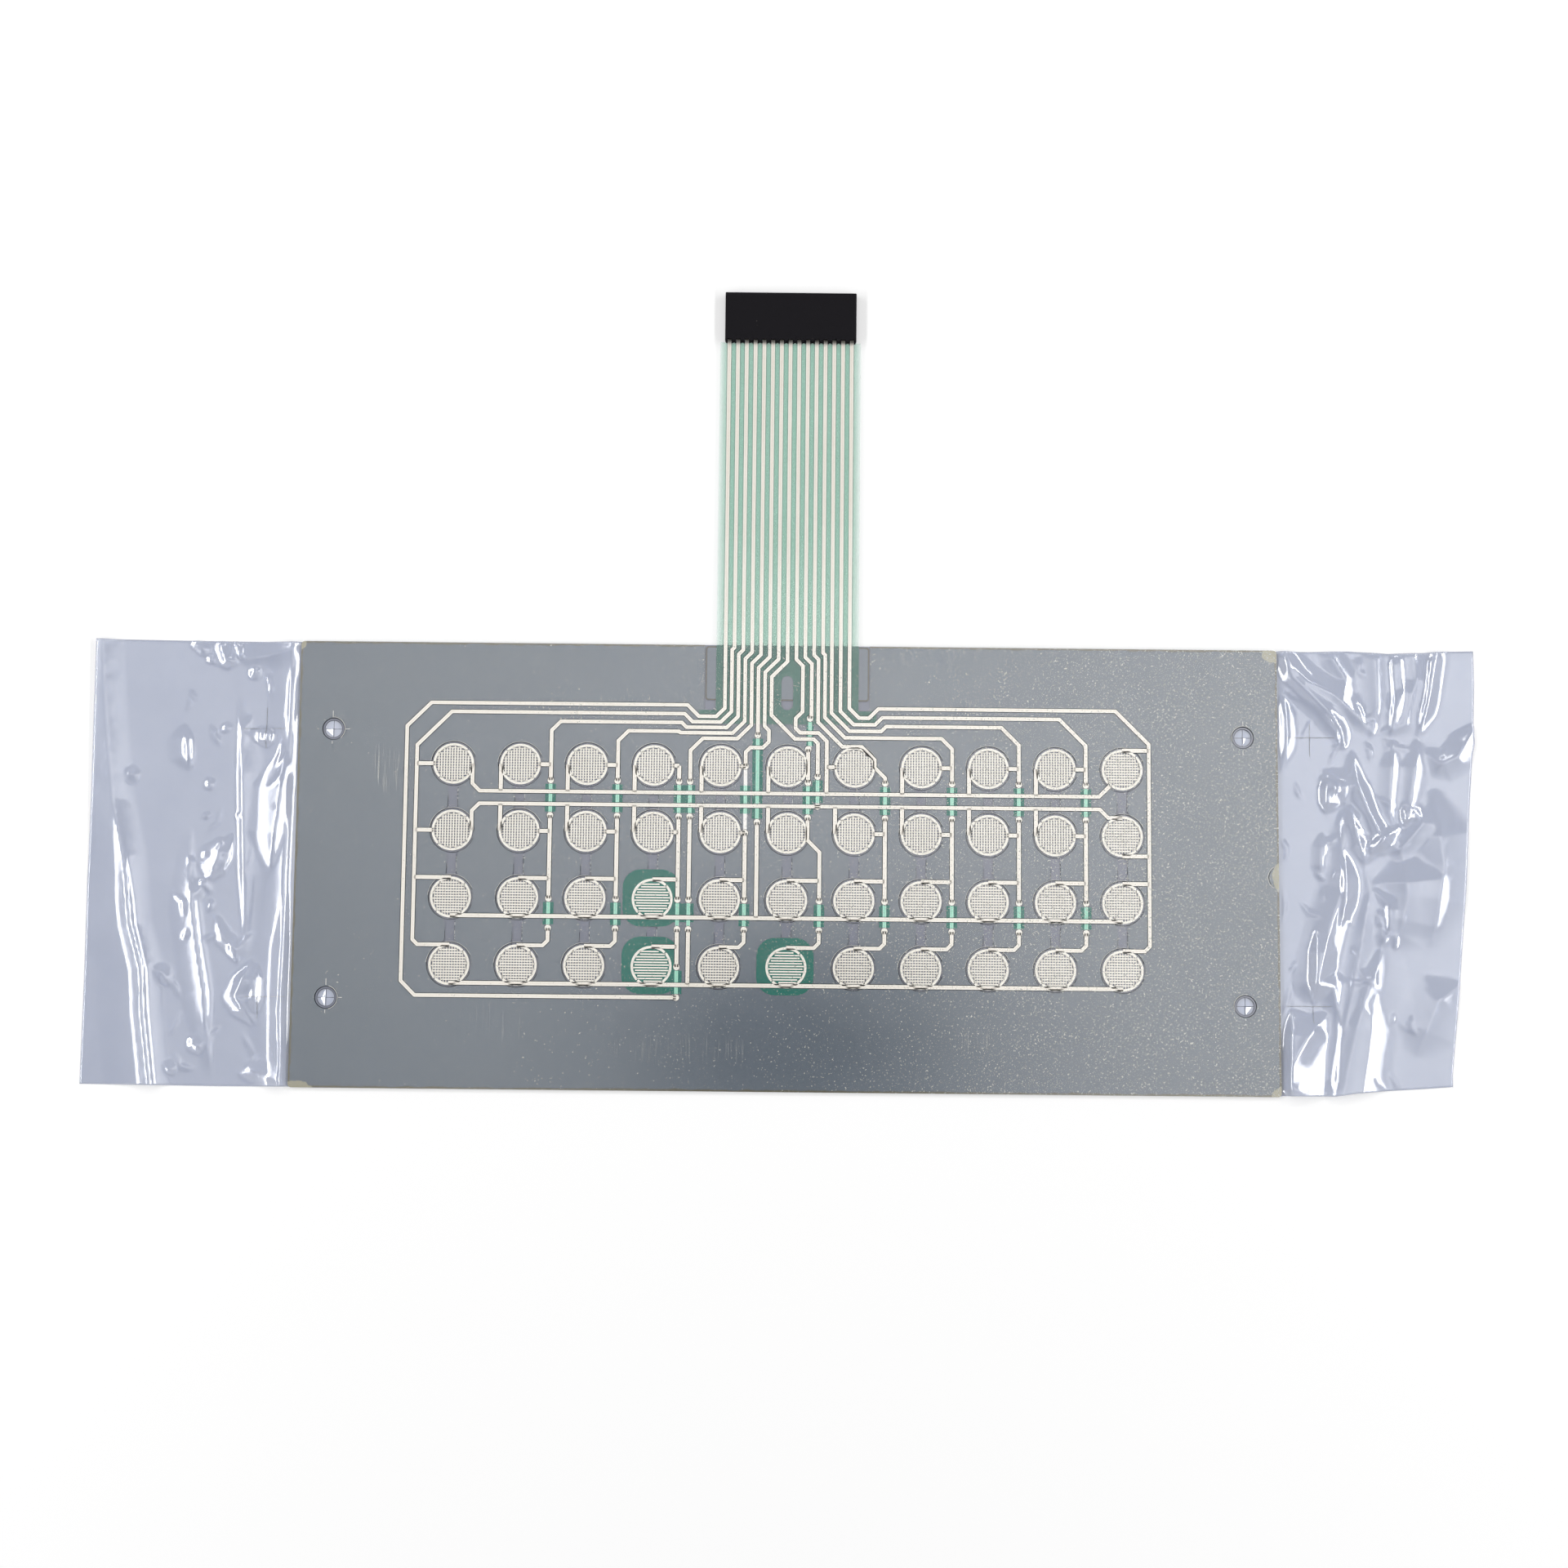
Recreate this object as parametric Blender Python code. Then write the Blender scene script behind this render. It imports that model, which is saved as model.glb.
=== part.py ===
"""Membrane keypad, 11 columns by 4 rows, seen from its circuit side.

The keypad is a stack of thin sheets. From the surface it lies on upwards: a crumpled
protective film, the graphic overlay, the shorting film with one silver pad for each key,
the adhesive spacer with an aperture for each key, and the clear circuit film with its
tail. The print on the underside of the circuit film has three layers: silver traces and
interdigitated key combs, green dielectric where traces cross, and silver jumpers below it.
The tail ends in a crimped 15-way receptacle housing with a 2.54 mm pitch.

X runs along the keypad, Y towards the tail, Z away from the surface it lies on.
The origin is at the middle of the key grid, on that surface. Lengths are in metres.
"""

import math

import bmesh
import bpy
from mathutils import Vector
from mathutils.geometry import delaunay_2d_cdt

# Key grid
KEY_PITCH = 0.01905
COLUMNS = 11
ROWS = 4

# Panel outline and its four mounting holes
PANEL_WIDTH = 0.2794
PANEL_DEPTH = 0.1270
PANEL_CORNER = 0.0010
HOLE_DIAMETER = 0.00635
FILM_HOLE_DIAMETER = 0.0050
HOLE_INSET_X = 0.0099
HOLE_INSET_Y = 0.0253

# Thickness of each sheet and of each printed layer
PROTECTIVE_THICKNESS = 0.00010
OVERLAY_THICKNESS = 0.00025
SHORTING_THICKNESS = 0.00018
SHORTING_PAD_RISE = 0.00004
SPACER_THICKNESS = 0.00030
JUMPER_THICKNESS = 0.00005
DIELECTRIC_THICKNESS = 0.00003
TRACE_THICKNESS = 0.00005
CIRCUIT_THICKNESS = 0.00018
BOND_LINE = 0.00001

# Key contact pattern
COMB_DIAMETER = 0.0116
COMB_RING = 0.0007
FINGER_PITCH = 0.00205
FINGER_WIDTH = 0.00100
FINGER_CLEARANCE = 0.00045
SPLIT_START = math.radians(-45.0)
SPLIT_HALF_ANGLE = math.radians(3.0)
SHORTING_PAD_DIAMETER = 0.0104
APERTURE_DIAMETER = 0.0127
CHANNEL_WIDTH = 0.0028

# Sides that stand for each round outline
HOLE_SIDES = 10
APERTURE_SIDES = 8
PAD_SIDES = 6
VIA_SIDES = 6
RING_STEPS = 4

# Traces
TRACE_WIDTH = 0.0011
VIA_DIAMETER = 0.0018
VIA_LEG = 0.0007
COLUMN_LINE = 0.0087
ROW_DROP = 0.0055
ROW_PAIR_GAP = 0.0036
ROW_RUN = 0.00513
STUB_OFFSET = 0.0056
CROSSING_REACH = 0.0050
PATCH_MARGIN = 0.0010
DIELECTRIC_CLEARANCE = 0.0002
SHIELD_WIDTH = 0.0162
SHIELD_CORNER = 0.0052

# Lines of the columns and rows, as shifts from their keys
LINE_SHIFTS = {1: -0.0105, 4: 0.00715, 5: 0.0070, 6: 0.00575, 11: 0.00765}
LOWER_LINE_6 = 0.0092
ROW_4_FEEDER = 0.0103
ROW_2_FEEDER = 0.0085
ROW_1_FEEDER = 0.01105
OUTER_LINE = 0.0135
FOOT_BUS_DROP = 0.0087
LOWER_REACH = 0.00335
END_CORNER = 0.0014
PATCH_WIDTH = 0.0030
JUMPER_WIDTH = 0.0010
SHIELD_SHIFT = 0.0003
FEEDER_PATCH_WIDTH = 0.0020

# Which way of the tail each column and each row uses, counted from the left
COLUMN_WAYS = {1: 2, 2: 3, 3: 4, 4: 1, 5: 7, 6: 10, 7: 11, 8: 12, 9: 13, 10: 14, 11: 15}
ROW_WAYS = {1: 9, 2: 8, 3: 6, 4: 5}

# Routes from the tail to the key grid
BUS_PITCH = 0.00254
LEFT_BUS_RISE = 0.0175
LEFT_TURN_RISE = 0.01428
LEFT_TURN_PITCH = 0.0015875
RIGHT_BUS_RISE = 0.0169
RIGHT_TURN_RISE = 0.0142
ROOT_PITCH = 0.001905
ROW_1_SHIFT = 0.0019
BUS_START = 0.0074
BUS_START_STEP = 0.00175
CLOSE_UP_DEPTH = 0.0046
CLOSE_UP_STEP = 0.00065

# Places of the inner feeds above the keys of row 1 and beside their keys
COLUMN_5_JOG = 0.0116
COLUMN_5_FEEDER = 0.0055
COLUMN_5_RUN = 0.0054
COLUMN_6_FEEDER = 0.0062
COLUMN_6_JOG = 0.0148
COLUMN_6_BRIDGE_TOP = 0.0139
COLUMN_6_BRIDGE_FOOT = 0.0051
COLUMN_6_BEND = 0.0019
COLUMN_7_RUN = 0.0059
COLUMN_7_FEEDER = 0.0057
ROW_1_JOG = 0.015875
ROW_1_STEP = 0.0021
ROW_1_RUN = 0.0098
ROW_2_RUN = 0.0080
ROW_2_BRIDGE_DROP = 0.0028
ROW_3_BRIDGE_TOP = 0.0090
ROW_3_BRIDGE_FOOT = 0.0031

# Ends of the lines of rows 1 and 2 at the first and the last key
FIRST_CORNER = 0.0021
LAST_BEND_1 = 0.0066
LAST_REACH_1 = 0.0032
LAST_BEND_2 = 0.0064
LAST_REACH_2 = 0.0040
LAST_DROP_2 = 0.0024

# Lengths cut off the corners of each feed, from the tail down
COLUMN_CUTS = {
    1: (0.0030, 0.0097), 2: (0.0032, 0.0026), 3: (0.0034, 0.0029), 4: (0.0024, 0.0068, 0.0040),
    5: (0.0017, 0.0013), 6: (), 7: (0.0070, 0.0037), 8: (0.0058, 0.0030),
    9: (0.0052, 0.0050), 10: (0.0038, 0.0075), 11: (0.0028, 0.0095),
}
ROW_CUTS = {1: (0.0013, 0.0024), 2: (0.0068, 0.0012), 3: (), 4: (0.0039, 0.0035)}

# Tail
TAIL_WAYS = 15
TAIL_PITCH = 0.00254
TAIL_CENTRE = -0.0004
TAIL_WIDTH = 0.0408
TAIL_LENGTH = 0.0892
RELIEF_WIDTH = 0.0032
RELIEF_MARGIN = 0.0020
VENT_WIDTH = 0.0034
VENT_LENGTH = 0.0099
NOTCH_MARGIN = 0.0033
NOTCH_DROP = 0.0006
EXIT_PAD_GAP = 0.0033
EXIT_PAD_CLEARANCE = 0.0003
EXIT_PAD_CORNER = 0.0008
COAT_DROP = 0.0021

# Share of a slot's width that rounds each of its ends
ROUND_END = 0.49

# Receptacle housing and its contacts
HOUSING_LENGTH = 0.0144
HOUSING_HEIGHT = 0.00254
HOUSING_END_WALL = 0.0004
HOUSING_EDGE = 0.0002
WINDOW_SIZE = 0.0011
WINDOW_DEPTH = 0.0015
CAVITY_WIDTH = 0.0018
CAVITY_HEIGHT = 0.0018
FILM_INSERTION = 0.0062
ENTRY_CLEARANCE = 0.00012
FUNNEL_DEPTH = 0.0006
FUNNEL_WIDTH = 0.0013
CONTACT_WALL = 0.00020
CONTACT_CLEARANCE = 0.00010
CONTACT_OVERLAP = 0.0008

# Crumpled flaps of the protective film beyond the panel
LEFT_FLAP = 0.0588
RIGHT_FLAP_TOP = 0.0567
RIGHT_FLAP_BOTTOM = 0.0486
FLAP_STEPS = 9
FLAP_ROWS = 10
FLAP_HINGE = 0.0090

# Heights of the stack, from the surface up
OVERLAY_Z = PROTECTIVE_THICKNESS + BOND_LINE
SHORTING_Z = OVERLAY_Z + OVERLAY_THICKNESS + BOND_LINE
SPACER_Z = SHORTING_Z + SHORTING_THICKNESS + BOND_LINE
JUMPER_Z = SPACER_Z + SPACER_THICKNESS + BOND_LINE
DIELECTRIC_Z = JUMPER_Z + JUMPER_THICKNESS + BOND_LINE
TRACE_Z = DIELECTRIC_Z + DIELECTRIC_THICKNESS + BOND_LINE
CIRCUIT_Z = TRACE_Z + TRACE_THICKNESS + BOND_LINE

PANEL_TOP = PANEL_DEPTH / 2
HOUSING_Y = PANEL_TOP + TAIL_LENGTH

# Distance within which corners are one, and angle within which edges are in line
SAME_POINT = 1e-8
IN_LINE = 0.002


def start_empty():
    """Remove every object, so that only the keypad is in the file."""
    for obj in list(bpy.data.objects):
        bpy.data.objects.remove(obj, do_unlink=True)


def finish_of(name, rgb, roughness, metallic=0.0, alpha=1.0):
    """Principled material with a base colour given in linear RGB."""
    mat = bpy.data.materials.new(name)
    mat.use_nodes = True
    shader = mat.node_tree.nodes["Principled BSDF"]
    shader.inputs["Base Color"].default_value = (*rgb, 1.0)
    shader.inputs["Roughness"].default_value = roughness
    shader.inputs["Metallic"].default_value = metallic
    shader.inputs["Alpha"].default_value = alpha
    mat.diffuse_color = (*rgb, alpha)
    return mat


def object_from(bm, name, mat=None):
    """Turn a bmesh into an object of the given name and material."""
    mesh = bpy.data.meshes.new(name)
    bmesh.ops.recalc_face_normals(bm, faces=bm.faces)
    bm.to_mesh(mesh)
    bm.free()
    if mat:
        mesh.materials.append(mat)
    obj = bpy.data.objects.new(name, mesh)
    bpy.context.scene.collection.objects.link(obj)
    return obj


def combine(target, other, operation):
    """Join or cut target with other, then remove other."""
    modifier = target.modifiers.new("combine", "BOOLEAN")
    modifier.operation = operation
    modifier.solver = "EXACT"
    modifier.object = other
    depsgraph = bpy.context.evaluated_depsgraph_get()
    mesh = bpy.data.meshes.new_from_object(target.evaluated_get(depsgraph))
    target.modifiers.clear()
    target.data = mesh
    bpy.data.objects.remove(other, do_unlink=True)


# Flat outlines, each a list of (x, y) points that runs counter-clockwise


def rectangle(x0, y0, x1, y1):
    return [(x0, y0), (x1, y0), (x1, y1), (x0, y1)]


def arc(cx, cy, radius, start, end, steps):
    """Points along an arc from start to end, both in radians."""
    points = []
    for i in range(steps + 1):
        angle = start + (end - start) * i / steps
        points.append((cx + radius * math.cos(angle), cy + radius * math.sin(angle)))
    return points


def disc(cx, cy, diameter, sides):
    """Regular polygon with a flat side facing each axis."""
    half = math.pi / sides
    return arc(cx, cy, diameter / 2, half, 2 * math.pi - half, sides - 1)


def rounded_rectangle(x0, y0, x1, y1, radius, steps=2):
    quarter = math.pi / 2
    return (arc(x1 - radius, y0 + radius, radius, -quarter, 0, steps)
            + arc(x1 - radius, y1 - radius, radius, 0, quarter, steps)
            + arc(x0 + radius, y1 - radius, radius, quarter, 2 * quarter, steps)
            + arc(x0 + radius, y0 + radius, radius, 2 * quarter, 3 * quarter, steps))


def ribbon(points, width):
    """Outline of a line of constant width with mitred bends and square ends."""
    left = []
    right = []
    for i, point in enumerate(points):
        here = Vector(point)
        into = (here - Vector(points[i - 1])).normalized() if i else None
        out = (Vector(points[i + 1]) - here).normalized() if i < len(points) - 1 else None
        along = ((into or out) + (out or into)).normalized()
        side = Vector((-along.y, along.x))
        edge = Vector((-(into or out).y, (into or out).x))
        reach = width / 2 / side.dot(edge)
        left.append(tuple(here + side * reach))
        right.append(tuple(here - side * reach))
    return right + left[::-1]


def route(start, *steps):
    """Centre line of a trace, as points joined by straight and 45 degree runs.

    Start is the coordinate along the first line. The steps alternate between a line,
    ("x", value) for one that runs up or down and ("y", value) for one that runs across,
    and how it meets the next: the length cut off their corner or, between two parallel
    lines, where along them the trace begins to cross over. The last step is the
    coordinate at which the last line ends.
    """
    lines = steps[0::2]
    meets = steps[1::2]

    def place(line, along):
        return (line[1], along) if line[0] == "x" else (along, line[1])

    points = [place(lines[0], start)]
    here = start
    for i in range(len(lines) - 1):
        line, following, meet = lines[i], lines[i + 1], meets[i]
        if line[0] == following[0]:
            shift = abs(following[1] - line[1])
            onward = math.copysign(shift, meet - here)
            points.append(place(line, meet))
            points.append(place(following, meet + onward))
            here = meet + onward
        else:
            ahead = meets[i + 1]
            if i + 2 < len(lines) and lines[i + 2][0] != following[0]:
                ahead = lines[i + 2][1]
            points.append(place(line, following[1] - math.copysign(meet, following[1] - here)))
            here = line[1] + math.copysign(meet, ahead - line[1])
            points.append(place(following, here))
    points.append(place(lines[-1], meets[-1]))
    return points


def is_clockwise(outline):
    total = 0.0
    for (x0, y0), (x1, y1) in zip(outline, outline[1:] + outline[:1]):
        total += (x1 - x0) * (y1 + y0)
    return total > 0


def plate(name, shapes, cuts, z_low, z_high, mat=None):
    """Flat sheet in the shape of all the outlines in shapes together, less the cuts."""
    corners = []
    faces = []
    for outline in shapes + cuts:
        if is_clockwise(outline):
            outline = outline[::-1]
        faces.append(list(range(len(corners), len(corners) + len(outline))))
        corners.extend(Vector(point) for point in outline)
    found = delaunay_2d_cdt(corners, [], faces, 1, SAME_POINT)
    spots, triangles, origins = found[0], found[2], found[5]

    flat = bmesh.new()
    made = [flat.verts.new((spot.x, spot.y, z_high)) for spot in spots]
    for triangle, origin in zip(triangles, origins):
        inside = any(i < len(shapes) for i in origin)
        removed = any(i >= len(shapes) for i in origin)
        if inside and not removed:
            flat.faces.new([made[i] for i in triangle])
    bmesh.ops.delete(flat, geom=[v for v in flat.verts if not v.link_faces], context="VERTS")
    bmesh.ops.dissolve_limit(flat, angle_limit=IN_LINE, use_dissolve_boundaries=False,
                             verts=flat.verts, edges=flat.edges)
    straight = [v for v in flat.verts if is_straight(v)]
    bmesh.ops.dissolve_verts(flat, verts=straight)

    solid = bmesh.new()
    upper = {v: solid.verts.new(v.co) for v in flat.verts}
    lower = {v: solid.verts.new((v.co.x, v.co.y, z_low)) for v in flat.verts}
    for face in flat.faces:
        solid.faces.new([upper[v] for v in face.verts])
        solid.faces.new([lower[v] for v in reversed(face.verts)])
    for edge in flat.edges:
        if len(edge.link_faces) == 1:
            a, b = edge.verts
            solid.faces.new([upper[a], upper[b], lower[b], lower[a]])
    flat.free()
    return object_from(solid, name, mat)


def is_straight(vertex):
    """True for a vertex with two edges in line, which the outline doesn't need."""
    if len(vertex.link_edges) != 2:
        return False
    a = vertex.link_edges[0].other_vert(vertex).co - vertex.co
    b = vertex.link_edges[1].other_vert(vertex).co - vertex.co
    return a.length > 0 and b.length > 0 and abs(a.angle(b) - math.pi) < IN_LINE


def key_x(column):
    return (column - (COLUMNS + 1) / 2) * KEY_PITCH


def key_y(row):
    return ((ROWS + 1) / 2 - row) * KEY_PITCH


def hole_places():
    for side in (-1, 1):
        for end in (-1, 1):
            yield (side * (PANEL_WIDTH / 2 - HOLE_INSET_X), end * (PANEL_DEPTH / 2 - HOLE_INSET_Y))


def panel_outline():
    return rounded_rectangle(-PANEL_WIDTH / 2, -PANEL_DEPTH / 2, PANEL_WIDTH / 2,
                             PANEL_DEPTH / 2, PANEL_CORNER)


# Sheets of the stack


def fold(u, v, start, end, height, half_width):
    """Height at (u, v) of a sharp fold that runs from start to end."""
    along = Vector(end) - Vector(start)
    offset = Vector((u, v)) - Vector(start)
    share = max(0.0, min(1.0, offset.dot(along) / along.length_squared))
    distance = (offset - along * share).length
    return height * max(0.0, 1.0 - distance / half_width)


# Folds of each flap: ends as (distance out from the panel, Y), height, half width
LEFT_FOLDS = [
    ((0.0530, 0.0640), (0.0405, -0.0060), 0.0052, 0.0130),
    ((0.0405, -0.0060), (0.0335, -0.0640), 0.0040, 0.0110),
    ((0.0120, 0.0560), (0.0240, 0.0210), 0.0030, 0.0080),
    ((0.0240, 0.0210), (0.0110, -0.0080), 0.0026, 0.0070),
    ((0.0110, -0.0080), (0.0220, -0.0420), 0.0030, 0.0080),
    ((0.0240, 0.0210), (0.0460, 0.0290), 0.0016, 0.0070),
    ((0.0220, -0.0420), (0.0560, -0.0500), 0.0014, 0.0080),
]
RIGHT_FOLDS = [
    ((0.0130, 0.0600), (0.0200, 0.0280), 0.0024, 0.0080),
    ((0.0200, 0.0280), (0.0330, 0.0080), 0.0036, 0.0080),
    ((0.0330, 0.0080), (0.0210, -0.0120), 0.0032, 0.0080),
    ((0.0210, -0.0120), (0.0160, -0.0640), 0.0046, 0.0110),
    ((0.0330, 0.0080), (0.0540, 0.0200), 0.0018, 0.0080),
    ((0.0210, -0.0120), (0.0080, -0.0300), 0.0020, 0.0070),
]


def protective_film(mat):
    """One wide film under the panel whose ends stick out on both sides, crumpled."""
    rows = [PANEL_DEPTH * (j / FLAP_ROWS - 0.5) for j in range(FLAP_ROWS + 1)]

    def station(side, step, y):
        share = step / FLAP_STEPS
        reach = LEFT_FLAP
        if side > 0:
            upward = y / PANEL_DEPTH + 0.5
            reach = RIGHT_FLAP_BOTTOM + (RIGHT_FLAP_TOP - RIGHT_FLAP_BOTTOM) * upward
        u = reach * share
        folds = RIGHT_FOLDS if side > 0 else LEFT_FOLDS
        height = sum(fold(u, y, *crease) for crease in folds) * min(1.0, u / FLAP_HINGE)
        return (side * (PANEL_WIDTH / 2 + u), y, height)

    bm = bmesh.new()
    levels = []
    for rise in (PROTECTIVE_THICKNESS, 0.0):
        grid = []
        for y in rows:
            line = [station(-1, step, y) for step in range(FLAP_STEPS, -1, -1)]
            line += [station(1, step, y) for step in range(FLAP_STEPS + 1)]
            grid.append([bm.verts.new((x, y, z + rise)) for x, y, z in line])
        levels.append(grid)
    upper, lower = levels
    for j in range(len(rows) - 1):
        for i in range(len(upper[0]) - 1):
            bm.faces.new([upper[j][i], upper[j][i + 1], upper[j + 1][i + 1], upper[j + 1][i]])
            bm.faces.new([lower[j][i], lower[j + 1][i], lower[j + 1][i + 1], lower[j][i + 1]])
    rim = upper[0] + [line[-1] for line in upper[1:]] + upper[-1][-2::-1]
    rim += [line[0] for line in upper[-2:0:-1]]
    base = lower[0] + [line[-1] for line in lower[1:]] + lower[-1][-2::-1]
    base += [line[0] for line in lower[-2:0:-1]]
    for i in range(len(rim)):
        k = (i + 1) % len(rim)
        bm.faces.new([rim[k], rim[i], base[i], base[k]])
    return object_from(bm, "protective_film", mat)


def graphic_overlay(mat):
    """Plain front sheet with the four mounting holes."""
    holes = [disc(x, y, FILM_HOLE_DIAMETER, HOLE_SIDES) for x, y in hole_places()]
    return plate("graphic_overlay", [panel_outline()], holes,
                 OVERLAY_Z, OVERLAY_Z + OVERLAY_THICKNESS, mat)


def shorting_film(mat):
    """Film behind the overlay, with a raised silver pad printed for each key."""
    top = SHORTING_Z + SHORTING_THICKNESS
    holes = [disc(x, y, FILM_HOLE_DIAMETER, HOLE_SIDES) for x, y in hole_places()]
    film = plate("shorting_film", [panel_outline()], holes, SHORTING_Z, top, mat)
    pads = [disc(key_x(c), key_y(r), SHORTING_PAD_DIAMETER, PAD_SIDES)
            for c in range(1, COLUMNS + 1) for r in range(1, ROWS + 1)]
    print_layer = plate("pads", pads, [], top - SHORTING_THICKNESS / 2, top + SHORTING_PAD_RISE)
    combine(film, print_layer, "UNION")
    return film


def notch_edges():
    middle = TAIL_CENTRE
    half = TAIL_WIDTH / 2 + NOTCH_MARGIN
    return middle - half, middle + half, relief_foot_y() - NOTCH_DROP


def spacer(mat):
    """Adhesive sheet with an aperture for each key, vent channels and the tail notch."""
    cuts = [disc(x, y, HOLE_DIAMETER, HOLE_SIDES) for x, y in hole_places()]
    for column in range(1, COLUMNS + 1):
        x = key_x(column)
        for row in range(1, ROWS + 1):
            cuts.append(disc(x, key_y(row), APERTURE_DIAMETER, APERTURE_SIDES))
        cuts.append(rectangle(x - CHANNEL_WIDTH / 2, key_y(ROWS), x + CHANNEL_WIDTH / 2, key_y(1)))
    left, right, bottom = notch_edges()
    cuts.append(rectangle(left, bottom, right, PANEL_TOP + PANEL_CORNER))
    return plate("spacer", [panel_outline()], cuts, SPACER_Z, SPACER_Z + SPACER_THICKNESS, mat)


def tail_exit_pad(mat):
    """Loose rectangle of the spacer sheet that packs the notch under the tail."""
    left, right, bottom = notch_edges()
    shape = rounded_rectangle(left + EXIT_PAD_CLEARANCE, bottom + EXIT_PAD_GAP,
                              right - EXIT_PAD_CLEARANCE, PANEL_TOP - EXIT_PAD_CLEARANCE,
                              EXIT_PAD_CORNER)
    return plate("tail_exit_pad", [shape], [], SPACER_Z, SPACER_Z + SPACER_THICKNESS, mat)


def tail_edges(width):
    return TAIL_CENTRE - width / 2, TAIL_CENTRE + width / 2


def housing_width():
    return TAIL_WAYS * TAIL_PITCH


def entry_width():
    return housing_width() - 2 * HOUSING_END_WALL


def vent_outline():
    """Oblong opening in the film between the two groups of traces at the tail's root."""
    foot = relief_foot_y()
    return rounded_rectangle(TAIL_CENTRE - VENT_WIDTH / 2, foot, TAIL_CENTRE + VENT_WIDTH / 2,
                             foot + VENT_LENGTH, VENT_WIDTH * ROUND_END)


def circuit_film(mat):
    """Clear film cut in one piece with the tail, which is freed by two relief slots."""
    left, right = tail_edges(TAIL_WIDTH)
    inner_left, inner_right = tail_edges(entry_width() - 2 * ENTRY_CLEARANCE)
    shoulder = HOUSING_Y - ENTRY_CLEARANCE
    shapes = [panel_outline(),
              rectangle(left, PANEL_TOP - PANEL_CORNER, right, shoulder),
              rectangle(inner_left, shoulder - TRACE_WIDTH, inner_right, HOUSING_Y + FILM_INSERTION)]
    cuts = [disc(x, y, HOLE_DIAMETER, HOLE_SIDES) for x, y in hole_places()]
    foot = relief_foot_y()
    mouth = PANEL_TOP + PANEL_CORNER
    round_end = RELIEF_WIDTH * ROUND_END
    cuts.append(rounded_rectangle(left - RELIEF_WIDTH, foot, left, mouth + RELIEF_WIDTH, round_end))
    cuts.append(rounded_rectangle(right, foot, right + RELIEF_WIDTH, mouth + RELIEF_WIDTH, round_end))
    cuts.append(vent_outline())
    return plate("circuit_film", shapes, cuts, CIRCUIT_Z, CIRCUIT_Z + CIRCUIT_THICKNESS, mat)


# Printed nets


def placed_outline(points, cx, cy, quarter_turns, mirror):
    """An outline drawn about a key's middle, mirrored in X if asked, then turned."""
    placed = []
    for x, y in points:
        x = -x if mirror else x
        for _ in range(quarter_turns % 4):
            x, y = -y, x
        placed.append((cx + x, cy + y))
    return placed


def comb_seat():
    """Radius that stays within the printed ring, whose arcs are made of chords."""
    chord = math.cos((math.pi / 2 - SPLIT_HALF_ANGLE) / RING_STEPS)
    return (COMB_DIAMETER / 2 * (1 + chord) - COMB_RING) / 2


def comb():
    """Outlines of the half ring and the fingers that a key's column side is made of.

    The half ring runs from the lower right over the top to the upper left, and its
    fingers hang down from it. The row side is the same shape turned by half a turn.
    """
    outer = COMB_DIAMETER / 2
    inner = outer - COMB_RING
    seat = comb_seat()
    start = SPLIT_START + SPLIT_HALF_ANGLE
    end = SPLIT_START + math.pi - SPLIT_HALF_ANGLE
    shapes = [arc(0, 0, outer, start, end, RING_STEPS) + arc(0, 0, inner, end, start, RING_STEPS)]
    half = FINGER_WIDTH / 2
    leftmost = seat * math.cos(end)
    count = int(inner / FINGER_PITCH) + 1
    for i in range(-count, count):
        x = (i + 0.5) * FINGER_PITCH
        if i % 2 or x - half < leftmost or x + half > inner - FINGER_CLEARANCE / 2:
            continue
        finger = [(side, math.sqrt(seat ** 2 - side ** 2)) for side in (x + half, x - half)]
        finger += [(side, FINGER_CLEARANCE - math.sqrt(inner ** 2 - side ** 2))
                   for side in (x - half, x + half)]
        shapes.append(finger)
    return shapes


def key_contact(column, row, of_row):
    """Comb of one key that belongs to its column, or to its row where of_row is true."""
    last = column == COLUMNS
    turns = 1 if row > 2 or last else 0
    mirror = (column == 1 and row <= 2) or (last and row == 2)
    if of_row:
        turns += 2
    return [placed_outline(shape, key_x(column), key_y(row), turns, mirror) for shape in comb()]


def trace(points):
    return ribbon(points, TRACE_WIDTH)


def via(x, y):
    return disc(x, y, VIA_DIAMETER, VIA_SIDES)


def tail_x(way):
    return TAIL_CENTRE + (way - (TAIL_WAYS + 1) / 2) * TAIL_PITCH


def root_x(way):
    """X of a trace just below the tail, where the ways close up on either side."""
    if way <= 8:
        return tail_x(1) + (way - 1) * ROOT_PITCH
    if way == 9:
        return tail_x(9) + ROW_1_SHIFT
    if way <= 12:
        return tail_x(13) - (13 - way) * ROOT_PITCH
    return tail_x(way)


def close_up_y(way):
    """Y at which a trace leaves its place in the tail for its place at the root."""
    steps = 8 - way if way <= 8 else way - 8
    return PANEL_TOP - CLOSE_UP_DEPTH + steps * CLOSE_UP_STEP


def left_turn_y(way):
    return key_y(1) + LEFT_TURN_RISE - (way - 1) * LEFT_TURN_PITCH


def left_bus_y(way):
    return key_y(1) + LEFT_BUS_RISE - (way - 1) * BUS_PITCH


def left_bus_x(way):
    return tail_x(1) - BUS_START - (way - 1) * BUS_START_STEP


def right_turn_y(way):
    return key_y(1) + RIGHT_TURN_RISE - (TAIL_WAYS - way) * ROOT_PITCH


def right_bus_y(way):
    return key_y(1) + RIGHT_BUS_RISE - (TAIL_WAYS - way) * BUS_PITCH


def right_bus_x(way):
    return tail_x(TAIL_WAYS) + BUS_START - BUS_START_STEP + (TAIL_WAYS - way) * BUS_START_STEP


def trace_end_y():
    return HOUSING_Y + FILM_INSERTION - ENTRY_CLEARANCE


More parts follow.
